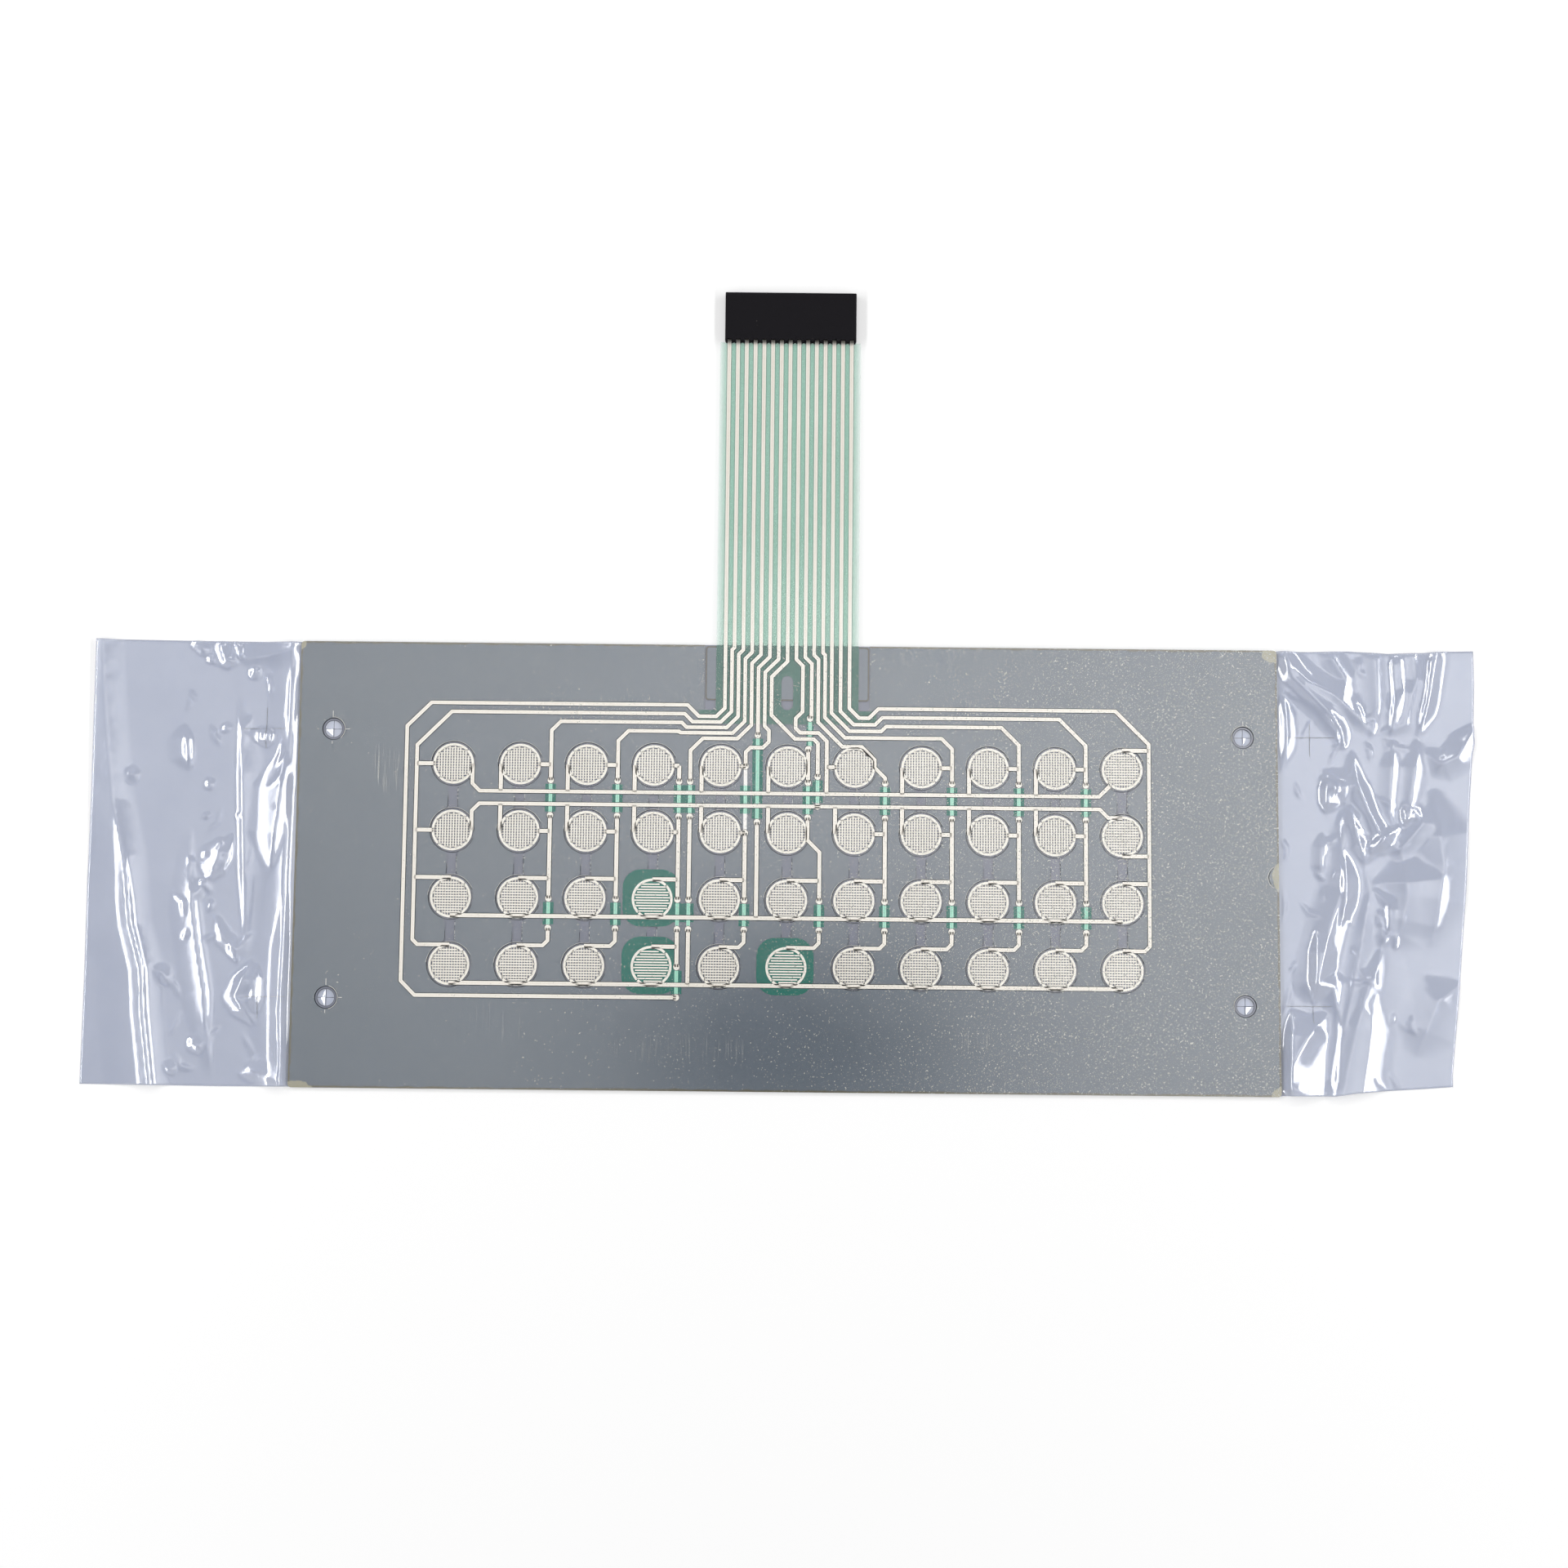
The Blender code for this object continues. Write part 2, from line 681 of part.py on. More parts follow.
def relief_foot_y():
    """Y of the closed end of the relief slots, just clear of the outermost trace."""
    return left_turn_y(1) + RELIEF_MARGIN


def line_x(column):
    """X of the line that joins the keys of a column."""
    return key_x(column) + LINE_SHIFTS.get(column, COLUMN_LINE)


def pair_middle_y():
    return (key_y(1) + key_y(2)) / 2


def row_line_y(row):
    """Y of the line that joins the keys of a row."""
    if row == 1:
        return pair_middle_y() + ROW_PAIR_GAP / 2
    if row == 2:
        return pair_middle_y() - ROW_PAIR_GAP / 2
    return key_y(row) - ROW_RUN


def column_line(column):
    """Outlines and jumpers of a column from its jumper over rows 1 and 2 downwards."""
    x = line_x(column)
    key = key_x(column)
    reach = comb_seat()
    top = pair_middle_y() + CROSSING_REACH
    second = pair_middle_y() - CROSSING_REACH
    third = row_line_y(3) + CROSSING_REACH
    fourth = row_line_y(3) - LOWER_REACH
    last_stub = key_y(4) + STUB_OFFSET
    shapes = [via(x, top), via(x, second)] if column != 5 else [via(x, key_y(1)), via(x, key_y(2))]
    if column == 6:
        low = key + LOWER_LINE_6
        shapes = [via(x, top), via(x, second)]
        shapes.append(trace(route(second, ("x", x), key_y(2) - COLUMN_6_BEND, ("x", low), third)))
    else:
        low = x
        shapes.append(trace([(x, second), (x, third)]))
        shapes.append(trace([(x, key_y(2)), (key + reach, key_y(2))]))
        if column != 7:
            shapes.append(trace([(x, key_y(1)), (key + reach, key_y(1))]))
    shapes.append(trace([(low, key_y(3) + STUB_OFFSET), (key, key_y(3) + STUB_OFFSET)]))
    shapes += [via(low, third), via(low, fourth)]
    jumpers = [(x, second, top), (low, fourth, third)]
    if column == 4:
        over = row_line_y(4) + CROSSING_REACH
        under = key_y(4) - FOOT_BUS_DROP
        shapes += [trace([(x, fourth), (x, over)]), via(x, over), via(x, under)]
        shapes.append(trace([(x, last_stub), (key, last_stub)]))
        jumpers.append((x, under, over))
    else:
        shapes.append(trace(route(fourth, ("x", low), END_CORNER, ("y", last_stub), key)))
    for row in range(1, ROWS + 1):
        shapes += key_contact(column, row, False)
    return shapes, jumpers


def side_column(column):
    """Outlines of the first or last column, which nothing crosses."""
    x = line_x(column)
    key = key_x(column)
    reach = comb_seat()
    if column == 1:
        shapes = [trace([(x, key_y(row)), (key - reach, key_y(row))]) for row in (1, 2)]
    else:
        shapes = [trace([(x, key_y(1) + STUB_OFFSET), (key, key_y(1) + STUB_OFFSET)]),
                  trace([(x, key_y(2) - STUB_OFFSET), (key, key_y(2) - STUB_OFFSET)])]
    shapes.append(trace([(x, key_y(3) + STUB_OFFSET), (key, key_y(3) + STUB_OFFSET)]))
    for row in range(1, ROWS + 1):
        shapes += key_contact(column, row, False)
    return shapes


def column_net(column):
    """Outlines and jumpers of a column's whole net, from the tail to its four keys."""
    way = COLUMN_WAYS[column]
    cuts = COLUMN_CUTS[column]
    top = pair_middle_y() + CROSSING_REACH
    last_stub = ("y", key_y(ROWS) + STUB_OFFSET)
    tail = ("x", tail_x(way))
    root = ("x", root_x(way))
    line = ("x", line_x(column))
    end = trace_end_y()
    if column == 1:
        feed = route(end, tail, close_up_y(way), root, cuts[0], ("y", left_turn_y(way)),
                     left_bus_x(way), ("y", left_bus_y(way)), cuts[1], line, END_CORNER,
                     last_stub, key_x(column))
        return [trace(feed)] + side_column(column), []
    if column == COLUMNS:
        feed = route(end, tail, cuts[0], ("y", right_turn_y(way)), right_bus_x(way),
                     ("y", right_bus_y(way)), cuts[1], line, END_CORNER, last_stub, key_x(column))
        return [trace(feed)] + side_column(column), []
    shapes, jumpers = column_line(column)
    if column in (2, 3):
        feed = route(end, tail, close_up_y(way), root, cuts[0], ("y", left_turn_y(way)),
                     left_bus_x(way), ("y", left_bus_y(way)), cuts[1], line, top)
    elif column == 4:
        feed = route(end, tail, cuts[0], ("y", left_turn_y(way)), left_bus_x(way),
                     ("y", left_bus_y(way)), cuts[1], ("x", key_x(1) - OUTER_LINE), cuts[2],
                     ("y", key_y(ROWS) - FOOT_BUS_DROP), line_x(column))
        shapes.append(trace([(line_x(column), key_y(1)), (line_x(column), top)]))
    elif column == 5:
        feed = route(end, tail, close_up_y(way), root, key_y(1) + COLUMN_5_JOG,
                     ("x", key_x(6) - COLUMN_5_FEEDER), cuts[0], ("y", key_y(1) + COLUMN_5_RUN),
                     cuts[1], line, top)
    elif column == 6:
        bridge_x = key_x(column) + COLUMN_6_FEEDER
        upper = key_y(1) + COLUMN_6_BRIDGE_TOP
        lower = key_y(1) + COLUMN_6_BRIDGE_FOOT
        feed = route(end, tail, close_up_y(way), root, key_y(1) + COLUMN_6_JOG, ("x", bridge_x), upper)
        shapes += [via(bridge_x, upper), via(line_x(column), lower)]
        shapes.append(trace([(line_x(column), lower), (line_x(column), top)]))
        jumpers.append((bridge_x, lower, upper))
    elif column == 7:
        feed = route(end, tail, close_up_y(way), root, cuts[0], ("y", key_y(1) + COLUMN_7_RUN), cuts[1],
                     ("x", key_x(column) + COLUMN_7_FEEDER), key_y(1), line, top)
    elif column == 8:
        feed = route(end, tail, close_up_y(way), root, cuts[0], ("y", right_turn_y(way)), cuts[1],
                     line, top)
    else:
        feed = route(end, tail, cuts[0], ("y", right_turn_y(way)), right_bus_x(way),
                     ("y", right_bus_y(way)), cuts[1], line, top)
    return [trace(feed)] + shapes, jumpers


def row_feeder_x(row):
    """X at which a row's own line comes down between the keys."""
    if row == 4:
        return key_x(4) + ROW_4_FEEDER
    if row == 3:
        return root_x(6)
    return key_x(6) + (ROW_2_FEEDER if row == 2 else ROW_1_FEEDER)


def row_net(row):
    """Outlines and jumpers of a row's whole net, from the tail to its eleven keys."""
    way = ROW_WAYS[row]
    cuts = ROW_CUTS[row]
    line = row_line_y(row)
    top = pair_middle_y() + CROSSING_REACH
    second = pair_middle_y() - CROSSING_REACH
    third = row_line_y(3) + CROSSING_REACH
    fourth = row_line_y(3) - LOWER_REACH
    end = trace_end_y()
    tail = ("x", tail_x(way))
    root = ("x", root_x(way))
    x = row_feeder_x(row)
    first = key_x(1) + COMB_DIAMETER / 2 - COMB_RING / 2
    last = key_x(COLUMNS)
    shapes = []
    jumpers = []
    if row == 1:
        feed = route(end, tail, close_up_y(way), root, key_y(1) + ROW_1_JOG, ("x", key_x(6) + ROW_1_STEP),
                     cuts[0], ("y", key_y(1) + ROW_1_RUN), cuts[1], ("x", x), line)
        shapes.append(trace([(first, key_y(1)), (first, line + FIRST_CORNER), (first + FIRST_CORNER, line),
                             (last - LAST_BEND_1, line),
                             (last - LAST_REACH_1, line + LAST_BEND_1 - LAST_REACH_1)]))
        shapes.append(trace([(x, key_y(1)), (key_x(7) - comb_seat(), key_y(1))]))
    elif row == 2:
        upper = key_y(1) - ROW_2_BRIDGE_DROP
        feed = route(end, tail, close_up_y(way), root, cuts[0], ("y", key_y(1) + ROW_2_RUN), cuts[1],
                     ("x", x), upper)
        shapes.append(trace([(first, key_y(2)), (first, line - FIRST_CORNER), (first + FIRST_CORNER, line),
                             (last - LAST_BEND_2, line), (last - LAST_REACH_2, line - LAST_DROP_2),
                             (last, line - LAST_DROP_2)]))
        shapes += [via(x, upper), via(x, line)]
        jumpers.append((x, line, upper))
    elif row == 3:
        upper = key_y(1) + ROW_3_BRIDGE_TOP
        lower = key_y(2) + ROW_3_BRIDGE_FOOT
        feed = route(end, tail, close_up_y(way), root, upper)
        shapes += [via(x, upper), via(x, lower), trace([(x, lower), (x, line)])]
        jumpers.append((x, lower, upper))
    else:
        feed = route(end, tail, close_up_y(way), root, cuts[0], ("y", left_turn_y(way)), cuts[1],
                     ("x", x), top)
        shapes += [via(x, y) for y in (top, second, third, fourth)]
        shapes += [trace([(x, second), (x, third)]), trace([(x, fourth), (x, line)])]
        jumpers += [(x, second, top), (x, fourth, third)]
    if row > 2:
        shapes.append(trace([(key_x(1), line), (last, line)]))
    for column in range(1, COLUMNS + 1):
        drop = row <= 2 and 1 < column < COLUMNS and (row, column) != (1, 7)
        if drop:
            drop_x = key_x(column) - ROW_DROP
            shapes.append(trace([(drop_x, key_y(row)), (drop_x, line)]))
        shapes += key_contact(column, row, True)
    return [trace(feed)] + shapes, jumpers


def jumper_bars(places):
    """Silver bars printed below the dielectric, each with an end that rises to its trace."""
    bm = bmesh.new()
    bar_top = JUMPER_Z + JUMPER_THICKNESS
    seat = TRACE_Z + TRACE_THICKNESS / 2
    leg = VIA_LEG / 2
    for x, y0, y1 in places:
        profile = [(y0 - leg, seat), (y0 - leg, JUMPER_Z), (y1 + leg, JUMPER_Z), (y1 + leg, seat),
                   (y1 - leg, seat), (y1 - leg, bar_top), (y0 + leg, bar_top), (y0 + leg, seat)]
        near = [bm.verts.new((x - JUMPER_WIDTH / 2, y, z)) for y, z in profile]
        far = [bm.verts.new((x + JUMPER_WIDTH / 2, y, z)) for y, z in profile]
        bm.faces.new(near)
        bm.faces.new(far[::-1])
        for i in range(len(profile)):
            k = (i + 1) % len(profile)
            bm.faces.new([near[k], near[i], far[i], far[k]])
    return object_from(bm, "jumper_bars")


def printed_net(name, shapes, jumpers, mat):
    net = plate(name, shapes, [], TRACE_Z, TRACE_Z + TRACE_THICKNESS, mat)
    if jumpers:
        combine(net, jumper_bars(jumpers), "UNION")
    return net


# Dielectric print


def dielectric(name, shapes, jumpers, mat, cuts=()):
    """Green insulating print, open wherever a jumper rises through it to its trace."""
    x0 = min(x for outline in shapes for x, _ in outline)
    x1 = max(x for outline in shapes for x, _ in outline)
    y0 = min(y for outline in shapes for _, y in outline)
    y1 = max(y for outline in shapes for _, y in outline)
    opening = VIA_DIAMETER + 2 * DIELECTRIC_CLEARANCE
    holes = list(cuts)
    for x, low, high in jumpers:
        for y in (low, high):
            if x0 - opening < x < x1 + opening and y0 - opening < y < y1 + opening:
                holes.append(disc(x, y, opening, VIA_SIDES))
    return plate(name, shapes, holes, DIELECTRIC_Z, DIELECTRIC_Z + DIELECTRIC_THICKNESS, mat)


def patch(left, low, right, high):
    """Dielectric between two lines, wider than them by a margin on each side."""
    half = PATCH_WIDTH / 2
    return rectangle(left - half, low, right + half, high)


def shield(column, row):
    """Square with round corners that insulates a key from the shorting film."""
    x = key_x(column) - SHIELD_SHIFT
    y = key_y(row) + SHIELD_SHIFT
    half = SHIELD_WIDTH / 2
    return rounded_rectangle(x - half, y - half, x + half, y + half, SHIELD_CORNER)


def dielectric_prints(jumpers, mat):
    """Every separate field of dielectric on the circuit film."""
    high = pair_middle_y() + CROSSING_REACH - PATCH_MARGIN
    low = pair_middle_y() - CROSSING_REACH + PATCH_MARGIN
    for column in range(2, COLUMNS):
        x = line_x(column)
        shapes = [patch(x, low, x, high)]
        if column == 4:
            shapes = [patch(x, low, row_feeder_x(4), high)]
        if column == 6:
            feeder = row_feeder_x(2)
            feeder_top = key_y(1) - ROW_2_BRIDGE_DROP - PATCH_MARGIN
            shapes.append(patch(feeder, row_line_y(2) + TRACE_WIDTH, feeder, feeder_top))
        dielectric(f"dielectric_rows_1_2_column_{column:02d}", shapes, jumpers, mat)
    x = row_feeder_x(3)
    feeder_patch = patch(x, key_y(2) + ROW_3_BRIDGE_FOOT + PATCH_MARGIN,
                         x, key_y(1) + ROW_3_BRIDGE_TOP - PATCH_MARGIN)
    neighbour = patch(line_x(5), low - PATCH_MARGIN, line_x(5) + DIELECTRIC_CLEARANCE, high + PATCH_MARGIN)
    dielectric("dielectric_row_3_feeder", [feeder_patch], jumpers, mat, [neighbour])

    high = row_line_y(3) + CROSSING_REACH - PATCH_MARGIN
    low = row_line_y(3) - LOWER_REACH + PATCH_MARGIN
    for column in range(2, COLUMNS):
        x = key_x(column) + LOWER_LINE_6 if column == 6 else line_x(column)
        shapes = [patch(x, low, x, high)]
        if column == 4:
            shapes = [patch(x, low, row_feeder_x(4), high), shield(4, 3)]
        dielectric(f"dielectric_row_3_column_{column:02d}", shapes, jumpers, mat)

    high = row_line_y(4) + CROSSING_REACH - PATCH_MARGIN
    low = key_y(4) - FOOT_BUS_DROP + PATCH_MARGIN
    dielectric("dielectric_row_4_column_04", [patch(line_x(4), low, line_x(4), high), shield(4, 4)],
               jumpers, mat)
    dielectric("dielectric_key_column_06_row_4", [shield(6, 4)], jumpers, mat)

    coat_foot = left_turn_y(1) - COAT_DROP
    x = key_x(6) + COLUMN_6_FEEDER
    half = FEEDER_PATCH_WIDTH / 2
    dielectric("dielectric_column_06_feeder",
               [rectangle(x - half, key_y(1) + COLUMN_6_BRIDGE_FOOT + PATCH_MARGIN, x + half,
                          coat_foot - DIELECTRIC_CLEARANCE)], jumpers, mat)
    left, right = tail_edges(TAIL_WIDTH)
    shapes = [rectangle(left, coat_foot, right, HOUSING_Y - ENTRY_CLEARANCE),
              rectangle(left_bus_x(1) - DIELECTRIC_CLEARANCE, coat_foot, right_bus_x(TAIL_WAYS) + COAT_DROP,
                        relief_foot_y() - DIELECTRIC_CLEARANCE)]
    dielectric("dielectric_tail_coat", shapes, jumpers, mat, [vent_outline()])


# Receptacle


def box(bm, x0, x1, y0, y1, z0, z1):
    """Add one box to a bmesh and return its vertices."""
    made = bmesh.ops.create_cube(bm, size=1.0)["verts"]
    for vertex in made:
        vertex.co.x = x1 if vertex.co.x > 0 else x0
        vertex.co.y = y1 if vertex.co.y > 0 else y0
        vertex.co.z = z1 if vertex.co.z > 0 else z0
    return made


def boxes(extents):
    """One object made of several boxes that lie apart, used as a cutter."""
    bm = bmesh.new()
    for extent in extents:
        box(bm, *extent)
    return object_from(bm, "boxes")


def contact_z():
    """Lowest and highest Z of a contact's socket, centred in the housing."""
    half = CAVITY_HEIGHT / 2 - CONTACT_CLEARANCE
    return HOUSING_HEIGHT / 2 - half, HOUSING_HEIGHT / 2 + half


def connector_housing(mat):
    """Black moulding with 15 cavities, a slot for the film and a funnel at each way."""
    half = housing_width() / 2
    face = HOUSING_Y + HOUSING_LENGTH
    bm = bmesh.new()
    box(bm, TAIL_CENTRE - half, TAIL_CENTRE + half, HOUSING_Y, face, 0.0, HOUSING_HEIGHT)
    bmesh.ops.bevel(bm, geom=bm.edges[:], offset=HOUSING_EDGE, segments=1, affect="EDGES",
                    profile=0.5)
    housing = object_from(bm, "connector_housing", mat)

    middle = HOUSING_HEIGHT / 2
    floor = HOUSING_Y + FILM_INSERTION
    shelf = face - WINDOW_DEPTH
    ways = [tail_x(way) for way in range(1, TAIL_WAYS + 1)]
    window = WINDOW_SIZE / 2
    wide = CAVITY_WIDTH / 2
    tall = CAVITY_HEIGHT / 2
    inner = entry_width() / 2
    slot_low = TRACE_Z - BOND_LINE - CONTACT_WALL - ENTRY_CLEARANCE
    slot_high = CIRCUIT_Z + CIRCUIT_THICKNESS + ENTRY_CLEARANCE
    funnel = FUNNEL_WIDTH / 2
    overrun = ENTRY_CLEARANCE
    cuts = [
        [(x - window, x + window, shelf - overrun, face + overrun, middle - window, middle + window)
         for x in ways],
        [(x - wide, x + wide, floor, shelf, middle - tall, middle + tall) for x in ways],
        [(TAIL_CENTRE - inner, TAIL_CENTRE + inner, HOUSING_Y - overrun, floor + overrun,
          slot_low, slot_high)],
        [(x - funnel, x + funnel, HOUSING_Y - overrun, HOUSING_Y + FUNNEL_DEPTH,
          slot_high - overrun, HOUSING_HEIGHT + overrun) for x in ways],
    ]
    for group in cuts:
        combine(housing, boxes(group), "DIFFERENCE")
    return housing


def contact(way, mat):
    """Socket folded round its pin space, with a crimp plate that lies under its trace."""
    x = tail_x(way)
    back = HOUSING_Y + FILM_INSERTION + CONTACT_CLEARANCE
    front = HOUSING_Y + HOUSING_LENGTH - WINDOW_DEPTH - CONTACT_CLEARANCE
    half = CAVITY_WIDTH / 2 - CONTACT_CLEARANCE
    low, high = contact_z()
    bm = bmesh.new()
    profile = []
    for size in (half, half - CONTACT_WALL):
        drop = half - size
        profile.append([(x - size, low + drop), (x + size, low + drop),
                        (x + size, high - drop), (x - size, high - drop)])
    rings = [[bm.verts.new((px, y, pz)) for px, pz in ring] for y in (back, front) for ring in profile]
    outer_back, inner_back, outer_front, inner_front = rings
    for i in range(4):
        k = (i + 1) % 4
        bm.faces.new([outer_back[i], outer_back[k], outer_front[k], outer_front[i]])
        bm.faces.new([inner_back[k], inner_back[i], inner_front[i], inner_front[k]])
        bm.faces.new([outer_back[k], outer_back[i], inner_back[i], inner_back[k]])
        bm.faces.new([outer_front[i], outer_front[k], inner_front[k], inner_front[i]])
    socket = object_from(bm, f"contact_{way:02d}", mat)
    plate_top = TRACE_Z - BOND_LINE
    plate_half = half - CONTACT_WALL / 2
    strip = boxes([(x - plate_half, x + plate_half, HOUSING_Y + FUNNEL_DEPTH, back + CONTACT_OVERLAP,
                    plate_top - CONTACT_WALL, plate_top)])
    combine(socket, strip, "UNION")
    return socket


def build():
    start_empty()
    silver = finish_of("printed silver", (0.86, 0.79, 0.70), 0.45, 0.3)
    green = finish_of("dielectric ink", (0.06, 0.26, 0.19), 0.5)
    protective_film(finish_of("blue protective film", (0.42, 0.48, 0.58), 0.2, alpha=0.6))
    graphic_overlay(finish_of("overlay polyester", (0.10, 0.10, 0.12), 0.6))
    shorting_film(finish_of("shorting film", (0.25, 0.27, 0.34), 0.4))
    spacer_finish = finish_of("grey spacer adhesive", (0.20, 0.21, 0.23), 0.7)
    spacer(spacer_finish)
    tail_exit_pad(spacer_finish)
    circuit_film(finish_of("clear polyester", (0.75, 0.80, 0.80), 0.1, alpha=0.25))

    jumpers = []
    for column in range(1, COLUMNS + 1):
        shapes, bars = column_net(column)
        jumpers += bars
        printed_net(f"column_net_{column:02d}", shapes, bars, silver)
    for row in range(1, ROWS + 1):
        shapes, bars = row_net(row)
        jumpers += bars
        printed_net(f"row_net_{row}", shapes, bars, silver)
    dielectric_prints(jumpers, green)

    connector_housing(finish_of("black nylon", (0.010, 0.010, 0.011), 0.45))
    tinned = finish_of("tinned bronze", (0.70, 0.69, 0.66), 0.3, 1.0)
    for way in range(1, TAIL_WAYS + 1):
        contact(way, tinned)


build()
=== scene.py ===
"""Membrane keypad on a white bench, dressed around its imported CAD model.

Written in the order in which the real one is laid up, from the bench upwards: peel-off
film, overlay, shorting film, adhesive spacer, printed jumpers, dielectric and traces,
clear circuit film, and the crimped receptacle. Sizes are in millimetres unless they say
otherwise, and MM turns them to metres.
"""

import math

import bmesh
import bpy
import numpy as np
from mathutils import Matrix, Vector
from mathutils.geometry import delaunay_2d_cdt


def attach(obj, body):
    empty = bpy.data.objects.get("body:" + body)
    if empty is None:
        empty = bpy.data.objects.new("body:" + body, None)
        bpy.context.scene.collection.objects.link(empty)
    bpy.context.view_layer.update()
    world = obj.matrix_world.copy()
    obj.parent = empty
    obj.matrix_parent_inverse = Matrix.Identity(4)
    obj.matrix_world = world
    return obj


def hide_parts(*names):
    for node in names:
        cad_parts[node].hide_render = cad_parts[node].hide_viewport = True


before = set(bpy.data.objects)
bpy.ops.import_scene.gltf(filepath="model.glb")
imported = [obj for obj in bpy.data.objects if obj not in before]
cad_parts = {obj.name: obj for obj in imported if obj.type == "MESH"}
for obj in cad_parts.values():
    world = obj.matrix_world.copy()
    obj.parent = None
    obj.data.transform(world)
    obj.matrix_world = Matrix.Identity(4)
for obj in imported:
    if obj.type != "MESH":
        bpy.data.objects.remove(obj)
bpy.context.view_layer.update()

# ---------------------------------------------------------------- bench, light and camera
# The keypad lies on a sheet of white paper under soft studio light. The camera looks
# straight down from 0.69 m, leaning 6 degrees towards the tail.
MM = 0.001
BENCH_SIZE = 2.4
PAPER = "#e4e4e4"
# Levels of white: what the paper gives off to the eye, and the room to matt surfaces. Then
# what gloss sees: the ceiling and its slope, the room below and behind it, and two soft
# boxes, given by how far a direction leans sideways and by how high it points
PAPER_GLOW = 0.30
AMBIENT = 0.30
CEILING = 2.8
CEILING_SLOPE = (5.2, 6.5, 0.0)
ROOM = 1.9
ROOM_BEHIND = 0.9
SOFTBOX = 16.0
SOFTBOX_LEAN = (0.60, 0.64, 0.82, 0.86)
SOFTBOX_HEIGHT = (0.52, 0.56)
# Metres from the part over which the paper turns plain white
PAPER_END = (0.40, 0.75)
CAMERA_SHADE = 3.2
SHADE_PLACE = (0.010, 0.0)
SHADE_SIZE = (0.075, 0.045)
CEILING_END_Y = (0.17, 0.21)
CEILING_END = (0.34, 0.60)
# Name, place, size and radiance, each aimed at the part
LAMPS = (
    ("lamp_left", (-0.85, 0.05, 0.66), (1.50, 0.09), 15.0),
    ("lamp_right", (0.85, 0.05, 0.66), (1.50, 0.09), 15.0),
    ("lamp_back", (0.0, 0.85, 0.80), (0.80, 0.06), 12.0),
)
CAMERA_PLACE = (-1.477, -51.291, 689.51)
CAMERA_TURN = (6.2089, -0.0965, 0.5701)
FOCAL_LENGTH = 55.829
SENSOR = 36.0


def linear(colour):
    """Linear RGBA of an sRGB hex colour."""
    parts = [int(colour[i:i + 2], 16) / 255 for i in (1, 3, 5)]
    return tuple(p / 12.92 if p <= 0.04045 else ((p + 0.055) / 1.055) ** 2.4 for p in parts) + (1.0,)


def feed(node, key, value):
    """Link an input to a socket, or to the output that a node's settings leave it."""
    if isinstance(value, bpy.types.Node):
        value = next(socket for socket in value.outputs if socket.enabled)
    node.id_data.links.new(value, node.inputs[key])


def add_node(tree, kind, inputs=None, **settings):
    """Add a node with its settings, and give its inputs values, sockets or nodes, by name or number."""
    node = tree.nodes.new(kind)
    for name, value in settings.items():
        setattr(node, name, value)
    for key, value in (inputs or {}).items():
        if isinstance(value, (bpy.types.Node, bpy.types.NodeSocket)):
            feed(node, key, value)
        else:
            node.inputs[key].default_value = value
    return node


def calc(tree, operation, *values):
    return add_node(tree, "ShaderNodeMath", dict(enumerate(values)), operation=operation)


def vector(tree, operation, *values):
    return add_node(tree, "ShaderNodeVectorMath", dict(enumerate(values)), operation=operation)


def xyz(tree, *values):
    return add_node(tree, "ShaderNodeCombineXYZ", dict(enumerate(values)))


def split(tree, value):
    """X, Y and Z of a vector."""
    return add_node(tree, "ShaderNodeSeparateXYZ", {0: value}).outputs


def ramp(tree, value, low, high, start=0.0, end=1.0):
    """Straight line from start at low to end at high, and level beyond."""
    return add_node(tree, "ShaderNodeMapRange", {"Value": value, "From Min": low, "From Max": high,
                                                 "To Min": start, "To Max": end})


def noise(tree, place, scale, detail, distortion=0.0):
    return add_node(tree, "ShaderNodeTexNoise", {"Vector": place, "Scale": scale, "Detail": detail,
                                                 "Distortion": distortion})


def mix(tree, share, low, high):
    return add_node(tree, "ShaderNodeMix", {0: share, 2: low, 3: high})


def tint(tree, share, low, high):
    """Mix of two colours, each an sRGB hex colour or a node."""
    low, high = (linear(tone) if isinstance(tone, str) else tone for tone in (low, high))
    return add_node(tree, "ShaderNodeMix", {0: share, 6: low, 7: high}, data_type="RGBA")


def bump(tree, height, strength, distance):
    return add_node(tree, "ShaderNodeBump", {"Height": height, "Strength": strength, "Distance": distance})


scene = bpy.context.scene
scene.view_settings.view_transform = "Standard"

# White paper: diffuse for the object, and bright enough to be plain white to the camera
paper = bpy.data.materials.new("paper_white_uncoated")
paper.use_nodes = True
tree = paper.node_tree
tree.nodes.clear()
rays = add_node(tree, "ShaderNodeLightPath")
seen = calc(tree, "MAXIMUM", rays.outputs["Is Camera Ray"], rays.outputs["Is Glossy Ray"])
seen = calc(tree, "MAXIMUM", seen, rays.outputs["Is Transmission Ray"])
glow = calc(tree, "MULTIPLY", seen, PAPER_GLOW)
sheet_light = add_node(tree, "ShaderNodeEmission", {"Color": linear("#ffffff"), "Strength": glow})
sheet_face = add_node(tree, "ShaderNodeBsdfDiffuse", {"Color": linear(PAPER)})
both = add_node(tree, "ShaderNodeAddShader", {0: sheet_face, 1: sheet_light})
from_part = vector(tree, "LENGTH", add_node(tree, "ShaderNodeTexCoord").outputs["Object"])
far_off = ramp(tree, from_part, *PAPER_END)
white = add_node(tree, "ShaderNodeEmission", {"Color": linear("#ffffff"), "Strength": 1.0})
floor = add_node(tree, "ShaderNodeMixShader", {0: far_off, 1: both, 2: white})
add_node(tree, "ShaderNodeOutputMaterial", {"Surface": floor})

